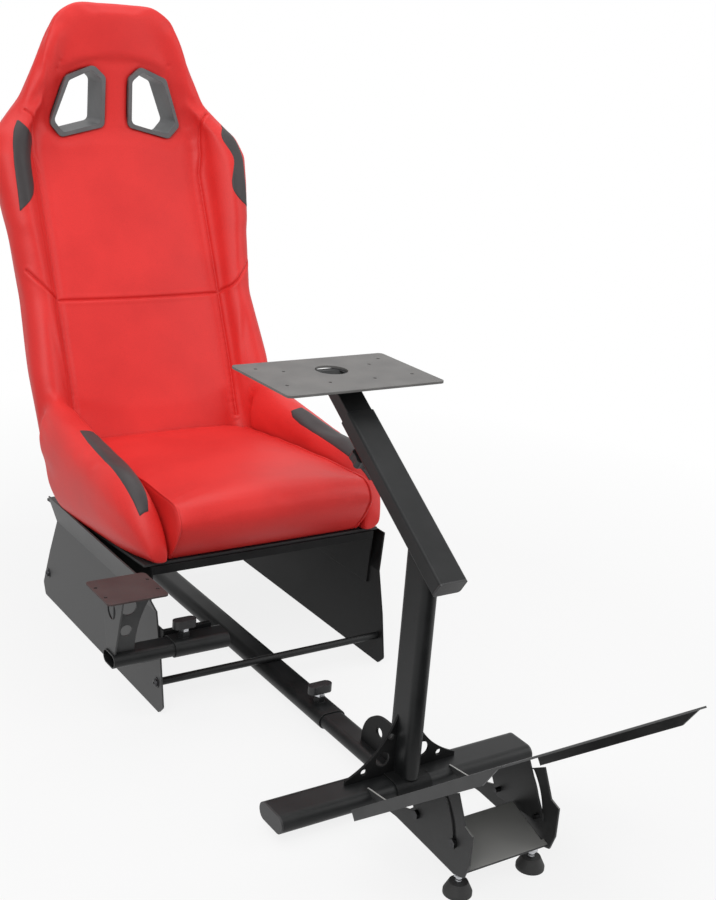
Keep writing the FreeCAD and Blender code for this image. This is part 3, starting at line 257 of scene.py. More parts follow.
# Wheel plate and shifter plate: the same coat, painted paler all over on the wheel plate as painted light on its
# top, and tinted red on the shifter plate as a painted reflection of the red seat.
# Each lies level on its bracket and is welded from below.
# painted light: the wheel plate's tones are much paler than the same coat elsewhere; the shifter plate's are
# tinted red as a painted reflection of the seat
PLATE_DARK, PLATE_LIGHT, PLATE_EDGE_HIGHLIGHT = (0.085, 0.082, 0.079, 1), (0.125, 0.121, 0.116, 1), (0.2, 0.2, 0.2, 1)
SHIFT_DARK, SHIFT_LIGHT, SHIFT_EDGE_HIGHLIGHT = (0.036, 0.0225, 0.022, 1), (0.050, 0.032, 0.031, 1), (0.10, 0.08, 0.08, 1)
plate_coat_with_painted_light = powder_coat("coat_with_painted_light_on_plates", PLATE_DARK, PLATE_LIGHT, PLATE_EDGE_HIGHLIGHT, gloss=0.5, shine=0.5)
dress(plate_coat_with_painted_light, "wheel_plate")
shifter_coat_with_painted_reflection = powder_coat("coat_with_painted_reflection_on_shifter", SHIFT_DARK, SHIFT_LIGHT, SHIFT_EDGE_HIGHLIGHT, gloss=0.55, shine=0.32)
dress(shifter_coat_with_painted_reflection, "shifter_plate")

# Floor beam, crossbar, post, arm and shifter tube: drawn flat-oval and box tube in a slightly glossier black coat.
# The inner tubes slide in the outer ones; the two cross rods are welded over the beam.
# the third tone is a painted highlight along the tube edges
TUBE_DARK, TUBE_LIGHT, TUBE_EDGE_HIGHLIGHT = (0.0065, 0.007, 0.0072, 1), (0.012, 0.0125, 0.013, 1), (0.045, 0.045, 0.046, 1)
tube_coat = powder_coat("satin_coat_on_tube", TUBE_DARK, TUBE_LIGHT, TUBE_EDGE_HIGHLIGHT, gloss=0.40, shine=0.26)
dress(tube_coat, "base_spine", "cross_rods", "shifter_sleeve", "shifter_tube", "beam_inner", "crossbar",
      "steering_post", "arm_tube", "wheel_neck", "wheel_collar")

# Tube caps and hand knobs: black moulded plastic with a fine spark-eroded grain.
# The caps are pushed into the open tube ends, and each knob is moulded round its steel stud.
CAP_DARK, CAP_LIGHT = (0.010, 0.010, 0.011, 1), (0.018, 0.018, 0.019, 1)
MOULD_ROUND = 0.001


def moulded_plastic(name, dark, light, gloss, grain_size, grain_deep):
    plastic, tree, shader, place = new_finish(name)
    tone = clouds(tree, place, shader, 30, 4, (0.3, 0.7), (dark, light), (gloss - 0.06, gloss + 0.06))
    join(tree, tone, "Color", shader, "Base Color")
    pits = add(tree, "ShaderNodeTexVoronoi", {"Scale": 1 / grain_size})
    join(tree, place, "Object", pits, "Vector")
    edge = add(tree, "ShaderNodeBevel", {"Radius": MOULD_ROUND})
    edge.samples = 4
    grain = add(tree, "ShaderNodeBump", {"Strength": 0.35, "Distance": grain_deep})
    join(tree, pits, "Distance", grain, "Height")
    join(tree, edge, "Normal", grain, "Normal")
    join(tree, grain, "Normal", shader, "Normal")
    return plastic


black_plastic = moulded_plastic("black_moulded_plastic", CAP_DARK, CAP_LIGHT, gloss=0.42,
                                grain_size=0.0009, grain_deep=0.0002)
dress(black_plastic, "crossbar_caps", "arm_cap", "beam_knob", "arm_knob", "shifter_knob")

# Clamp studs and foot studs: rolled steel thread under bright zinc, screwed through the welded nuts.
# The thread shows as fine rings round each stud; the stud under the arm leans with it.
ZINC_DARK, ZINC_LIGHT = (0.46, 0.47, 0.49, 1), (0.66, 0.67, 0.69, 1)
THREAD_PITCH, THREAD_DEEP, ARM_LEAN = 0.00125, 0.0005, math.radians(-33.5)


def zinc_plate(name, dark, light, gloss, thread_tilt=None):
    zinc, tree, shader, place = new_finish(name)
    shader.inputs["Metallic"].default_value = 1.0
    tone = clouds(tree, place, shader, 140, 4, (0.3, 0.7), (dark, light), (gloss - 0.06, gloss + 0.1))
    join(tree, tone, "Color", shader, "Base Color")
    if thread_tilt is not None:
        lean = add(tree, "ShaderNodeMapping", {"Rotation": (thread_tilt, 0, 0)})
        join(tree, place, "Object", lean, "Vector")
        rings = add(tree, "ShaderNodeTexWave", {"Scale": 1 / THREAD_PITCH / 10})
        rings.bands_direction = "Z"
        join(tree, lean, "Vector", rings, "Vector")
        thread = add(tree, "ShaderNodeBump", {"Strength": 0.8, "Distance": THREAD_DEEP})
        join(tree, rings, "Fac", thread, "Height")
        join(tree, thread, "Normal", shader, "Normal")
    return zinc


upright_zinc = zinc_plate("zinc_thread_upright", ZINC_DARK, ZINC_LIGHT, gloss=0.3, thread_tilt=0.0)
leaning_zinc = zinc_plate("zinc_thread_on_arm", ZINC_DARK, ZINC_LIGHT, gloss=0.3, thread_tilt=ARM_LEAN)
dress(upright_zinc, "right_foot_stud", "left_foot_stud", "beam_knob_stud", "shifter_knob_stud")
dress(leaning_zinc, "arm_knob_stud")

# Ferrules of the beam knob and the shifter knob: thin six-sided sleeves of bright zinc.
# Each is pressed round the neck of its knob from below and turns with it.
# name, body, middle of the foot and width over flats
FERRULES = (("beam_ferrule", "beam_clamp", (0.0, 0.264, 0.0577), 0.0166),
            ("shifter_ferrule", "shifter_clamp", (-0.205, 0.396, 0.1657), 0.0156))
FERRULE_H, FERRULE_WALL, FERRULE_EDGE = 0.0062, 0.0007, 0.0006
FLATS = 6
plain_zinc = zinc_plate("zinc_ferrule", ZINC_DARK, ZINC_LIGHT, gloss=0.24)


def ring_faces(rings, around, closed):
    # faces between neighbouring rings of points; a closed row also joins the last ring to the first
    faces = []
    for i in range(rings if closed else rings - 1):
        low, high = i * around, (i + 1) % rings * around
        for k in range(around):
            after = (k + 1) % around
            faces.append((low + k, low + after, high + after, high + k))
    return faces


def turned_out(name, points, faces, weld=None):
    # a mesh with every face turned outwards, and points closer than weld made one
    mesh = bpy.data.meshes.new(name)
    mesh.from_pydata(points, [], faces)
    skin = bmesh.new()
    skin.from_mesh(mesh)
    if weld:
        bmesh.ops.remove_doubles(skin, verts=skin.verts, dist=weld)
    bmesh.ops.recalc_face_normals(skin, faces=skin.faces)
    skin.to_mesh(mesh)
    skin.free()
    return mesh


for name, body, foot, flats in FERRULES:
    # inset and height of each ring, up the outside and down the inside again
    steps = [(0, 0.0), (0, FERRULE_H - FERRULE_EDGE), (FERRULE_EDGE, FERRULE_H), (FERRULE_WALL, FERRULE_H),
             (FERRULE_WALL, 0.0)]
    points = []
    for inset, h in steps:
        reach = (flats / 2 - inset) / math.cos(math.pi / FLATS)
        for k in range(FLATS):
            a = 2 * math.pi / FLATS * k
            points.append((foot[0] + reach * math.cos(a), foot[1] + reach * math.sin(a), foot[2] + h))
    mesh = turned_out(name, points, ring_faces(len(steps), FLATS, True))
    mesh.materials.append(plain_zinc)
    piece = put(name, mesh)
    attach(piece, body)

# Pivot and lock bolts of the pedal plate: hexagon-head steel bolts in black zinc.
# They pass through the cheeks and the ears; the plate tilts about one pair and is held by the other.
BOLT_DARK, BOLT_LIGHT = (0.035, 0.035, 0.037, 1), (0.075, 0.075, 0.078, 1)
black_zinc = zinc_plate("black_zinc", BOLT_DARK, BOLT_LIGHT, gloss=0.38)
dress(black_zinc, "pedal_pivot_bolts", "pedal_lock_bolts")

# Levelling feet: round rubber pads, matt, with a little dust in the grain.
# Each is moulded on its zinc stud, which carries a lock nut and stands under a tab of the pedal bracket.
RUBBER_DARK, RUBBER_LIGHT = (0.012, 0.012, 0.012, 1), (0.026, 0.026, 0.025, 1)
foot_rubber = moulded_plastic("matt_foot_rubber", RUBBER_DARK, RUBBER_LIGHT, gloss=0.68,
                              grain_size=0.0014, grain_deep=0.0003)
dress(foot_rubber, "right_foot_pad", "left_foot_pad")

# Seat shell: one black moulding with a coarse grain, behind the foam of the back.
# Its back runs down into a tray that carries the cushion and stands on the seat pan.
SHELL_DARK, SHELL_LIGHT = (0.012, 0.012, 0.013, 1), (0.02, 0.02, 0.021, 1)
shell_black = moulded_plastic("textured_seat_shell", SHELL_DARK, SHELL_LIGHT, gloss=0.58,
                              grain_size=0.0022, grain_deep=0.0005)
dress(shell_black, "seat_shell")

# Frames of the harness openings: grey-black moulded plastic with a fine grain.
# Each is pressed through the back from the front and lines its opening.
BEZEL_DARK, BEZEL_LIGHT = (0.085, 0.087, 0.09, 1), (0.115, 0.117, 0.12, 1)
bezel_grey = moulded_plastic("grey_bezel_plastic", BEZEL_DARK, BEZEL_LIGHT, gloss=0.5,
                             grain_size=0.0008, grain_deep=0.00015)
dress(bezel_grey, "right_harness_bezel", "left_harness_bezel")

# Rod screws: four black button-head screws with washers, through the side plates into the ends of the cross rods.
# Each head is domed, with a hexagon socket.
ROD_ENDS_Y, ROD_Z, PLATE_OUT = (0.432, 0.962), 0.0541, 0.237
WASHER_R, WASHER_T, WASHER_EDGE, WASHER_RIM = 0.0098, 0.0014, 0.0003, 0.8
HEAD_R, HEAD_H, HEAD_RIM, DOME_RINGS = 0.0072, 0.0042, 0.22, 6
SOCKET_R, SOCKET_DEEP, SOCKET_EDGE = 0.0026, 0.0022, 0.0002
SOCKET_MOUTH, SOCKET_FLAT = 1.12, 1.35
AROUND, SHARP = 36, math.radians(40)


def rod_screw(name, y, side):
    # radius and height of each ring from the washer's foot over the dome; below zero the ring is six-sided
    rings = [(WASHER_R, 0.0), (WASHER_R, WASHER_T * WASHER_RIM), (WASHER_R - WASHER_EDGE, WASHER_T),
             (HEAD_R, WASHER_T), (HEAD_R, WASHER_T + HEAD_H * HEAD_RIM)]
    for k in range(1, DOME_RINGS):
        lean = k / DOME_RINGS * math.pi / 2
        rings.append((HEAD_R - (HEAD_R - SOCKET_R * SOCKET_FLAT) * (1 - math.cos(lean)),
                      WASHER_T + HEAD_H * (HEAD_RIM + (1 - HEAD_RIM) * math.sin(lean))))
    top = WASHER_T + HEAD_H
    rings += [(-SOCKET_R * SOCKET_MOUTH, top), (-SOCKET_R, top - SOCKET_EDGE), (-SOCKET_R, top - SOCKET_DEEP)]
    points = []
    for r, h in rings:
        for k in range(AROUND):
            a = 2 * math.pi * k / AROUND
            reach = r
            if r < 0:
                reach = -r * math.cos(math.pi / 6) / math.cos(a % (math.pi / 3) - math.pi / 6)
            points.append((side * (PLATE_OUT + h), y + reach * math.cos(a), ROD_Z + reach * math.sin(a)))
    faces = ring_faces(len(rings), AROUND, False)
    last = (len(rings) - 1) * AROUND
    faces.append(tuple(last + k for k in range(AROUND)))
    faces.append(tuple(reversed(range(AROUND))))
    mesh = turned_out(name, points, faces)
    mesh.shade_smooth()
    mesh.set_sharp_from_angle(angle=SHARP)
    mesh.materials.append(black_zinc)
    screw = put(name, mesh)
    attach(screw, "base")


for side_name, s in (("right", -1), ("left", 1)):
    for end_name, y in zip(("front", "rear"), ROD_ENDS_Y):
        rod_screw(side_name + "_" + end_name + "_rod_screw", y, s)

# Back, wings and thigh bolsters: one moulded foam tub under a cover of red grained synthetic leather.
# The cover is cut from panels sewn together, pulled over the foam and drawn in along its seams.
LEATHER_RED, LEATHER_DEEP = (0.71, 0.030, 0.027, 1), (0.62, 0.023, 0.021, 1)
LEATHER_SHINE, PORES_FINE, PORES_DEEP = 0.30, 560, 0.0003
TUB_BLOCKS = ("back_pad", "right_back_bolster", "left_back_bolster", "right_thigh_bolster", "left_thigh_bolster")
FOAM_GRID, TUB_BRIDGE, TUB_EASE, TUB_SWELL = 0.006, 0.011, 4, 0.005
EASE_PULL, EASE_BACK = 0.5, -0.52
QUICK_SHARE, BLOW_STEPS = 0.6, 20


def grained_leather(name, light, deep, gloss, grain_deep):
    skin, tree, shader, place = new_finish(name)
    shader.inputs["Specular IOR Level"].default_value = LEATHER_SHINE
    tone = clouds(tree, place, shader, 7, 6, (0.30, 0.60), (deep, light), (gloss - 0.05, gloss + 0.08))
    pores = add(tree, "ShaderNodeTexVoronoi", {"Scale": PORES_FINE})
    pores.feature = "DISTANCE_TO_EDGE"
    join(tree, place, "Object", pores, "Vector")
    crease = add(tree, "ShaderNodeMapRange", {"From Max": 0.16, "To Min": 0.88})
    join(tree, pores, "Distance", crease, "Value")
    shade = add(tree, "ShaderNodeMix")
    shade.data_type = "RGBA"
    shade.blend_type = "MULTIPLY"
    shade.inputs["Factor"].default_value = 1
    join(tree, tone, "Color", shade, "A")
    join(tree, crease, "Result", shade, "B")
    join(tree, shade, "Result", shader, "Base Color")
    fine = add(tree, "ShaderNodeBump", {"Strength": grain_deep, "Distance": PORES_DEEP})
    join(tree, crease, "Result", fine, "Height")
    join(tree, fine, "Normal", shader, "Normal")
    return skin


def corners(piece):
    flat = np.empty(len(piece.data.vertices) * 3)
    piece.data.vertices.foreach_get("co", flat)
    return flat.reshape(-1, 3)


def move_corners(piece, places):
    piece.data.vertices.foreach_set("co", np.ascontiguousarray(places).ravel())
    piece.data.update()


def outward(piece):
    flat = np.empty(len(piece.data.vertices) * 3)
    piece.data.vertex_normals.foreach_get("vector", flat)
    return flat.reshape(-1, 3)


def settle(piece):
    # the piece as its modifiers leave it
    graph = bpy.context.evaluated_depsgraph_get()
    done = bpy.data.meshes.new_from_object(piece.evaluated_get(graph))
    piece.modifiers.clear()
    piece.data = done


def even_skin(piece):
    grid = piece.modifiers.new("even_skin", "REMESH")
    grid.mode = "VOXEL"
    grid.voxel_size = FOAM_GRID
    grid.use_smooth_shade = True
    settle(piece)


def foam_block(name, blocks, bridge, rounds):
    # the moulded blocks as one skin; narrow gaps between them close as the cover spans them
    both = bmesh.new()
    for node in blocks:
        both.from_mesh(nodes[node].data)
    mesh = bpy.data.meshes.new(name)
    both.to_mesh(mesh)
    both.free()
    piece = put(name, mesh)
    even_skin(piece)
    if bridge:
        move_corners(piece, corners(piece) + bridge * outward(piece))
        even_skin(piece)
        move_corners(piece, corners(piece) - bridge * outward(piece))
    ease = piece.modifiers.new("ease", "SMOOTH")
    ease.factor = 0.5
    ease.iterations = rounds
    settle(piece)
    return piece


def ease_where(piece, share, rounds, back=EASE_BACK):
    # smooths the skin where share is 1 and leaves it where it is 0; a negative back step keeps it from shrinking
    pairs = np.empty(len(piece.data.edges) * 2, dtype=np.int64)
    piece.data.edges.foreach_get("vertices", pairs)
    a, b = pairs.reshape(-1, 2).T
    places = corners(piece)
    size = len(places)
    count = np.bincount(pairs, minlength=size).astype(float)[:, None]
    for step in range(2 * rounds):
        total = np.zeros_like(places)
        for axis in range(3):
            along = places[:, axis]
            total[:, axis] = np.bincount(a, along[b], size) + np.bincount(b, along[a], size)
        pull = EASE_PULL if step % 2 == 0 else back
        places = places + pull * share[:, None] * (total / np.maximum(count, 1) - places)
    move_corners(piece, places)


def fill_cover(piece, held, swell, ease_share, ease_rounds):
    # the cover as cloth, blown up from inside; it stays put where it rests on something
    before = corners(piece)
    pins = piece.vertex_groups.new(name="held")
    pins.add([int(i) for i in np.nonzero(held)[0]], 1.0, "REPLACE")
    blow = piece.modifiers.new("blow", "CLOTH")
    blow.settings.quality = 2
    blow.settings.mass = 0.25
    blow.settings.vertex_group_mass = "held"
    blow.settings.use_pressure = True
    blow.settings.uniform_pressure_force = 4.0
    blow.settings.effector_weights.gravity = 0
    blow.collision_settings.use_collision = False
    blow.point_cache.frame_start = 1
    blow.point_cache.frame_end = BLOW_STEPS
    for step in range(1, BLOW_STEPS + 1):
        bpy.context.scene.frame_set(step)
    settle(piece)
    bpy.context.scene.frame_set(1)
    piece.vertex_groups.clear()
    shift = corners(piece) - before
    far = np.maximum(np.linalg.norm(shift, axis=1, keepdims=True), 1e-9)
    move_corners(piece, before + shift * np.minimum(1.0, swell / far))
    ease_where(piece, ease_share, ease_rounds)
    finer = piece.modifiers.new("finer", "SUBSURF")
    finer.levels = finer.render_levels = 1
    settle(piece)
    piece.data.shade_smooth()


def skin_tree(piece):
    points = [tuple(v) for v in corners(piece)]
    return BVHTree.FromPolygons(points, [tuple(f.vertices) for f in piece.data.polygons])


def spaced(points, step):
    # the same line with points a small step apart
    line = [Vector(points[0])]
    for a, b in zip(points, points[1:]):
        a, b = Vector(a), Vector(b)
        count = max(1, int((b - a).length / step))
        line += [a.lerp(b, (k + 1) / count) for k in range(count)]
    return line


def drawn_on_front(tree, line):
    # points of a seam given by x and z, found on the front of the cover
    hits = [tree.ray_cast(Vector((x, -2.0, z)), Vector((0, 1, 0)))[0] for x, z in line]
    return [hit for hit in hits if hit is not None]


def seen_at(tree, x, y):
    # the point of the skin at a place in the photograph
    across, up = (x - PHOTO_WIDE / 2) / FOCAL_PIXELS, (PHOTO_HIGH / 2 - y) / FOCAL_PIXELS
    way = CAMERA_RIGHT * across + CAMERA_UP * up
    return tree.ray_cast(CAMERA_PLACE, (way - CAMERA_BACK).normalized())[0]


def seen_line(tree, line, step):
    # a line over places in the photograph, found on the skin
    hits = [seen_at(tree, p.x, p.y) for p in spaced([q + (0,) for q in line], step)]
    return [hit for hit in hits if hit is not None]


def sew(piece, lines, deep, wide, puff):
    # finer faces along the seams, then the cover pulled in on each line and swelling beside it
    marks = [p for line in lines for p in spaced(line, 0.001)]
    finder = KDTree(len(marks))
    for i, p in enumerate(marks):
        finder.insert(p, i)
    finder.balance()
    reach, close, crest, spread = 6 * wide, 3 * wide, 3.2 * wide, 1.7 * wide
    low = np.min([tuple(p) for p in marks], axis=0) - reach
    high = np.max([tuple(p) for p in marks], axis=0) + reach

    def distances():
        places = corners(piece)
        off = np.full(len(places), 1.0)
        for i in np.nonzero(((places > low) & (places < high)).all(axis=1))[0]:
            off[i] = finder.find(Vector(places[i]))[2]
        return off
    off = distances()
    skin = bmesh.new()
    skin.from_mesh(piece.data)
    near = [e for e in skin.edges if off[e.verts[0].index] < close and off[e.verts[1].index] < close]
    bmesh.ops.subdivide_edges(skin, edges=near, cuts=1, use_grid_fill=True)
    skin.to_mesh(piece.data)
    skin.free()
    off = distances()
    rise = puff * np.exp(-((off - crest) / spread) ** 2) - deep * np.exp(-(off / wide) ** 2)
    move_corners(piece, corners(piece) + rise[:, None] * outward(piece))
    piece.data.shade_smooth()


# half width of the cushion that the tub leaves room for, at its front and its rear
CUSHION_FRONT_HALF, CUSHION_REAR_HALF = 0.204, 0.172
CUSHION_Y0, CUSHION_Y1 = 0.380, 1.100


def cushion_half(y):
    share = (y - CUSHION_Y0) / (CUSHION_Y1 - CUSHION_Y0)
    return CUSHION_FRONT_HALF + share * (CUSHION_REAR_HALF - CUSHION_FRONT_HALF)


# lowest and highest point and half width of the part of the back around the frames and right at them
ROUND_FRAMES, AT_FRAMES = (0.88, 1.10, 0.19), (0.89, 1.09, 0.17)


def in_part(places, part):
    low, high, half = part
    return np.nonzero((places[:, 2] > low) & (places[:, 2] < high) & (np.abs(places[:, 0]) < half))[0]


# the head gets wider towards its top by these shares, and rises, so that smoothing leaves it full and round
HEAD_ROUND = [(1.06, 1.0), (1.09, 1.01), (1.12, 1.035), (1.14, 1.075), (1.16, 1.13), (1.175, 1.20), (1.19, 1.25)]
HEAD_FOOT, HEAD_RISE, HEAD_BLEND, HEAD_EASE = 1.09, 1.09, 0.05, 25
# the wings stand out and forward at the shoulders, with these shares by height and by width, clear of the shell
WING_OUT, WING_FORWARD = 0.008, 0.014
WING_BY_HEIGHT = (0.62, 0.76, 0.92, 1.0), (0, 1, 1, 0)
WING_BY_WIDTH = (0.175, 0.235), (0, 1)
SHELL_CLEAR, SHELL_BLEND, SHELL_TOP = 0.006, 0.045, 1.120
FRAME_CLEAR, FRAME_BLEND, FRAME_HELD = 0.008, 0.02, 0.012
SKIN_EASE, SKIN_EASE_BY_HEIGHT, FILLED_EASE = 40, ((0.5, 0.62), (0.6, 1.0)), 25
tub = foam_block("tub_cover", TUB_BLOCKS, TUB_BRIDGE, TUB_EASE)
shell_tree = skin_tree(nodes["seat_shell"])
frames = [skin_tree(nodes[n]) for n in ("right_harness_bezel", "left_harness_bezel")]
places = corners(tub)
places[:, 0] *= np.interp(places[:, 2], *zip(*HEAD_ROUND))
places[:, 2] += (HEAD_RISE - 1) * np.maximum(places[:, 2] - HEAD_FOOT, 0)
lift = np.interp(places[:, 2], *WING_BY_HEIGHT)
lift *= np.interp(np.abs(places[:, 0]), *WING_BY_WIDTH)
for i in np.nonzero(lift)[0]:
    gap = shell_tree.find_nearest(Vector(places[i]))[3]
    lift[i] *= min(1.0, max(0.0, (gap - SHELL_CLEAR) / SHELL_BLEND))
places[:, 0] += np.sign(places[:, 0]) * WING_OUT * lift
places[:, 1] -= WING_FORWARD * lift
move_corners(tub, places)
clear = np.ones(len(places))
for i in in_part(places, ROUND_FRAMES):
    gap = min(f.find_nearest(Vector(places[i]))[3] for f in frames)
    clear[i] = min(1.0, max(0.0, (gap - FRAME_CLEAR) / FRAME_BLEND))
ease_where(tub, clear * np.interp(places[:, 2], *SKIN_EASE_BY_HEIGHT), SKIN_EASE)
on_head = np.interp(places[:, 2], (HEAD_FOOT, HEAD_FOOT + HEAD_BLEND), (0.0, 1.0))
ease_where(tub, clear * on_head, HEAD_EASE, EASE_PULL)

# the cover is held where it lies on the shell or the tray, beside the cushion and at the frames
BEHIND, BELOW, SHELL_PAST = 0.5, -0.55, 0.01
WALL_NEAR, WALL_REAR, WALL_TOP = 0.010, 0.98, 0.40
places, facing = corners(tub), outward(tub)
on_shell = (facing[:, 1] > BEHIND) & (places[:, 2] < SHELL_TOP + SHELL_PAST)
on_tray = facing[:, 2] < BELOW
wall = np.abs(np.abs(places[:, 0]) - cushion_half(places[:, 1]))
by_cushion = (wall < WALL_NEAR) & (places[:, 1] < WALL_REAR) & (places[:, 2] < WALL_TOP)
by_frame = np.zeros(len(places), bool)
for i in in_part(places, AT_FRAMES):
    by_frame[i] = any(f.find_nearest(Vector(places[i]), FRAME_HELD)[0] is not None for f in frames)
fill_cover(tub, on_shell | on_tray | by_cushion | by_frame, TUB_SWELL, clear, FILLED_EASE)

# seams: one across the waist, one up each wing that bends out at the shoulder, and a slanting one on each wing
SEAM_X, WAIST_Z, SLANT_X, SLANT_Z = 0.182, 0.607, 0.25, 0.672
SHOULDER_SEAM = [(206.5, 114.5), (203, 118.5), (200.5, 123), (199.2, 130), (199, 142.6), (200, 154)]
SEAM_JOIN_MM, SEAM_FOOT_MM = 40, 360
SEAM_DEEP, SEAM_WIDE, SEAM_PUFF = 0.0037, 0.0023, 0.0008
tub_tree = skin_tree(tub)
half_mm = round(SEAM_X * 1000)
seams = [drawn_on_front(tub_tree, [(x / 1000.0, WAIST_Z) for x in range(-half_mm, half_mm + 1, 2)])]
upright = seen_line(tub_tree, SHOULDER_SEAM, 1.0)
upright_mm = range(int(upright[-1].z * 1000) - SEAM_JOIN_MM, SEAM_FOOT_MM, -3)
upright += drawn_on_front(tub_tree, [(SEAM_X, z / 1000.0) for z in upright_mm])
seams.append(upright)
seams.append([tub_tree.find_nearest(Vector((-p.x, p.y, p.z)))[0] for p in upright])
for s in (-1, 1):
    slant = spaced([(s * SEAM_X, WAIST_Z, 0), (s * SLANT_X, SLANT_Z, 0)], 0.003)
    seams.append(drawn_on_front(tub_tree, [(p.x, p.y) for p in slant]))
sew(tub, seams, SEAM_DEEP, SEAM_WIDE, SEAM_PUFF)
red_leather = grained_leather("red_grained_leather", LEATHER_RED, LEATHER_DEEP, gloss=0.46, grain_deep=0.5)
tub.data.materials.clear()
tub.data.materials.append(red_leather)
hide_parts(*TUB_BLOCKS)
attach(tub, "base")

# Seat cushion: a separate boxed foam pad in the same leather, crowned, with a rolled front that tucks under.
# Flat side panels are sewn to the top along a welted edge.
CUSHION_EASE, CUSHION_SWELL, CUSHION_FILLED_EASE = 2, 0.007, 12
SIDE_WALL, CUSHION_BELOW, CUSHION_BEHIND, SEAM_ROOM = 0.004, -0.6, 0.5, 0.0006
cushion = foam_block("cushion_cover", ("seat_cushion",), 0, CUSHION_EASE)
places, facing = corners(cushion), outward(cushion)
side_wall = cushion_half(places[:, 1]) - np.abs(places[:, 0]) < SIDE_WALL
held = side_wall | (facing[:, 2] < CUSHION_BELOW) | (facing[:, 1] > CUSHION_BEHIND)
fill_cover(cushion, held, CUSHION_SWELL, np.where(held, 0.0, 1.0), CUSHION_FILLED_EASE)
places = corners(cushion)
limit = cushion_half(places[:, 1]) - SEAM_ROOM
places[:, 0] = np.clip(places[:, 0], -limit, limit)
move_corners(cushion, places)
cushion.data.materials.append(red_leather)
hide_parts("seat_cushion")
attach(cushion, "base")

# Welts of the cushion: a leather-covered cord sewn into each side seam.
# Each runs from the hip forward along the top edge and over the front roll down to the pan.
WELT_R, WELT_IN, WELT_STEPS = 0.0021, 0.005, 40
WELT_BACK, WELT_TURN, WELT_ABOVE = 0.90, 0.50, 0.6
WELT_HEART_Z, WELT_ROLL = 0.325, 165
cushion_tree = skin_tree(cushion)
for side_name, s in (("right", -1), ("left", 1)):
    hits = []
    for k in range(WELT_STEPS + 1):
        y = WELT_BACK + (WELT_TURN - WELT_BACK) * k / WELT_STEPS
        over = Vector((s * (cushion_half(y) - WELT_IN), y, WELT_ABOVE))
        hits.append(cushion_tree.ray_cast(over, Vector((0, 0, -1)))[0])
    heart = Vector((s * (cushion_half(WELT_TURN) - WELT_IN), WELT_TURN, WELT_HEART_Z))
    for k in range(1, WELT_STEPS):
        lean = math.radians(90 + WELT_ROLL * k / WELT_STEPS)
        hits.append(cushion_tree.ray_cast(heart, Vector((0, math.cos(lean), math.sin(lean))))[0])
    path = [hit for hit in hits if hit is not None]
    cord = bpy.data.curves.new(side_name + "_welt_line", "CURVE")
    cord.dimensions = "3D"
    cord.bevel_depth = WELT_R
    cord.bevel_resolution = 3
    cord.use_fill_caps = True
    run = cord.splines.new("NURBS")
    run.points.add(len(path) - 1)
    for point, p in zip(run.points, path):
        point.co = (s * (cushion_half(p.y) - SEAM_ROOM - WELT_R), p.y, p.z, 1)
    run.use_endpoint_u = True
    run.order_u = 4
    holder = put(side_name + "_welt_line", cord)
    graph = bpy.context.evaluated_depsgraph_get()
    mesh = bpy.data.meshes.new_from_object(holder.evaluated_get(graph))
    bpy.data.objects.remove(holder)
    mesh.shade_smooth()
    mesh.materials.clear()
    mesh.materials.append(red_leather)
    welt = put(side_name + "_cushion_welt", mesh)
    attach(welt, "base")

# Charcoal patches: soft leather guards sewn over the shoulders and the thigh crests, where a sitter slides past.
# Each lies on the red cover and is turned under along its edge.
PATCH_DARK, PATCH_LIGHT = (0.028, 0.024, 0.025, 1), (0.048, 0.042, 0.043, 1)
PATCH_RISE, PATCH_SINK, PATCH_EDGE, PATCH_WELD = 0.0013, 0.0012, 0.75, 0.0002
PATCH_ROWS, PATCH_STEPS, PATCH_ROUND = 61, 16, 6
charcoal = grained_leather("charcoal_grained_leather", PATCH_LIGHT, PATCH_DARK, gloss=0.5, grain_deep=0.5)
tub_tree = skin_tree(tub)


def even_line(points):
    # the same line with one point for each row of a patch
    points = np.array(points, float)
    run = np.concatenate([[0], np.cumsum(np.linalg.norm(np.diff(points, axis=0), axis=1))])
    at = np.linspace(0, run[-1], PATCH_ROWS)
    return np.stack([np.interp(at, run, points[:, k]) for k in range(points.shape[1])], axis=1)


def rounded_line(points):
    line = even_line(points)
    for _ in range(PATCH_ROUND):
        line[1:-1] = 0.25 * line[:-2] + 0.5 * line[1:-1] + 0.25 * line[2:]
    return line


def patch(name, rows, flip=False):
    # rows of points laid on the tub cover, raised in the middle and turned under along the edge
    long, across = len(rows), len(rows[0])
    points, faces = [], []
    for i, row in enumerate(rows):
        for k, p in enumerate(row):
            at = Vector((-p.x, p.y, p.z)) if flip else p
            near, normal = tub_tree.find_nearest(at)[:2]
            rim = min(i, long - 1 - i, k, across - 1 - k)
            rise = -PATCH_SINK if rim == 0 else PATCH_RISE * (PATCH_EDGE if rim == 1 else 1.0)
            points.append(near + normal * rise)
    for i in range(long - 1):
        for k in range(across - 1):
            a = i * across + k
            face = (a, a + 1, a + across + 1, a + across)
            faces.append(face if flip else tuple(reversed(face)))
    mesh = turned_out(name, points, faces, PATCH_WELD)
    mesh.shade_smooth()
    mesh.materials.append(charcoal)
    piece = put(name, mesh)
    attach(piece, "base")


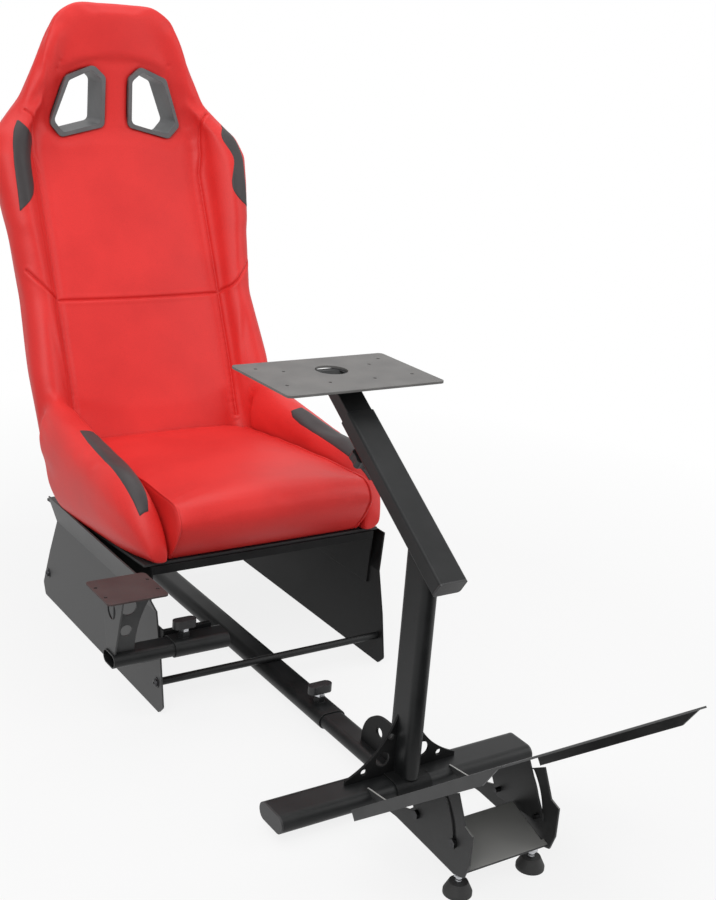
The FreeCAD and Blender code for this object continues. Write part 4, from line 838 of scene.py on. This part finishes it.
# edges of the shoulder patches at places in the photograph; the far outer edge is the near one mirrored and moved
SHOULDER_OUTER = [(17.4, 119.4), (12.9, 129.4), (11.9, 142.6), (13.3, 162.5), (15.8, 182.4), (19.9, 211.4)]
SHOULDER_INNER = [(17.4, 119.4), (24.9, 124.4), (31.2, 131), (32.5, 139.3), (31.2, 157.5), (32.8, 172.5),
                  (34.8, 184.1), (34.5, 194), (30.7, 201.5), (19.9, 211.4)]
FAR_SHOULDER_INNER = [(222.3, 127.7), (220.6, 133), (221, 138), (225, 144.5), (230, 151), (233.4, 157.5),
                      (234, 163), (232.6, 172), (231.2, 181), (231.8, 188), (235.5, 195), (243.5, 203)]
FAR_SHOULDER_MOVE = np.array((0.016, 0.010, 0.0))
shoulder_rows = []
for a, b in zip(rounded_line(SHOULDER_OUTER), rounded_line(SHOULDER_INNER)):
    row = [seen_at(tub_tree, *(a + (b - a) * k / PATCH_STEPS)) for k in range(PATCH_STEPS + 1)]
    if all(p is not None for p in row):
        shoulder_rows.append(row)
patch("right_shoulder_patch", shoulder_rows)
far_edge = rounded_line([tuple(p) for p in seen_line(tub_tree, FAR_SHOULDER_INNER, 0.5)])
mirrored = [(-row[0].x, row[0].y, row[0].z) for row in shoulder_rows]
far_rows = [[Vector(a + (b - a) * k / PATCH_STEPS) for k in range(PATCH_STEPS + 1)]
            for a, b in zip(even_line(mirrored) + FAR_SHOULDER_MOVE, far_edge)]
patch("left_shoulder_patch", far_rows)

# y, crest height and crest x of the thigh bolster, then the lean of the patch's outer and inner edge
THIGH_GUIDE = [(0.497, 0.354, -0.230, 26, 2), (0.52, 0.376, -0.234, 26, -14), (0.55, 0.393, -0.238, 25, -28),
               (0.60, 0.406, -0.240, 23, -40), (0.66, 0.416, -0.242, 19, -50), (0.73, 0.422, -0.2435, 13, -56),
               (0.765, 0.425, -0.2436, 8, -52), (0.785, 0.4265, -0.2437, 3, -38)]
THIGH_HEART = 0.045
thigh_rows = []
for y, crest, x, lean_out, lean_in in even_line(THIGH_GUIDE):
    heart = Vector((x, y, crest - THIGH_HEART))
    row = []
    for k in range(PATCH_STEPS + 1):
        lean = math.radians(lean_out + (lean_in - lean_out) * k / PATCH_STEPS)
        row.append(tub_tree.ray_cast(heart, Vector((-math.sin(lean), 0, math.cos(lean))))[0])
    if all(p is not None for p in row):
        thigh_rows.append(row)
patch("right_thigh_patch", thigh_rows)
patch("left_thigh_patch", thigh_rows, flip=True)
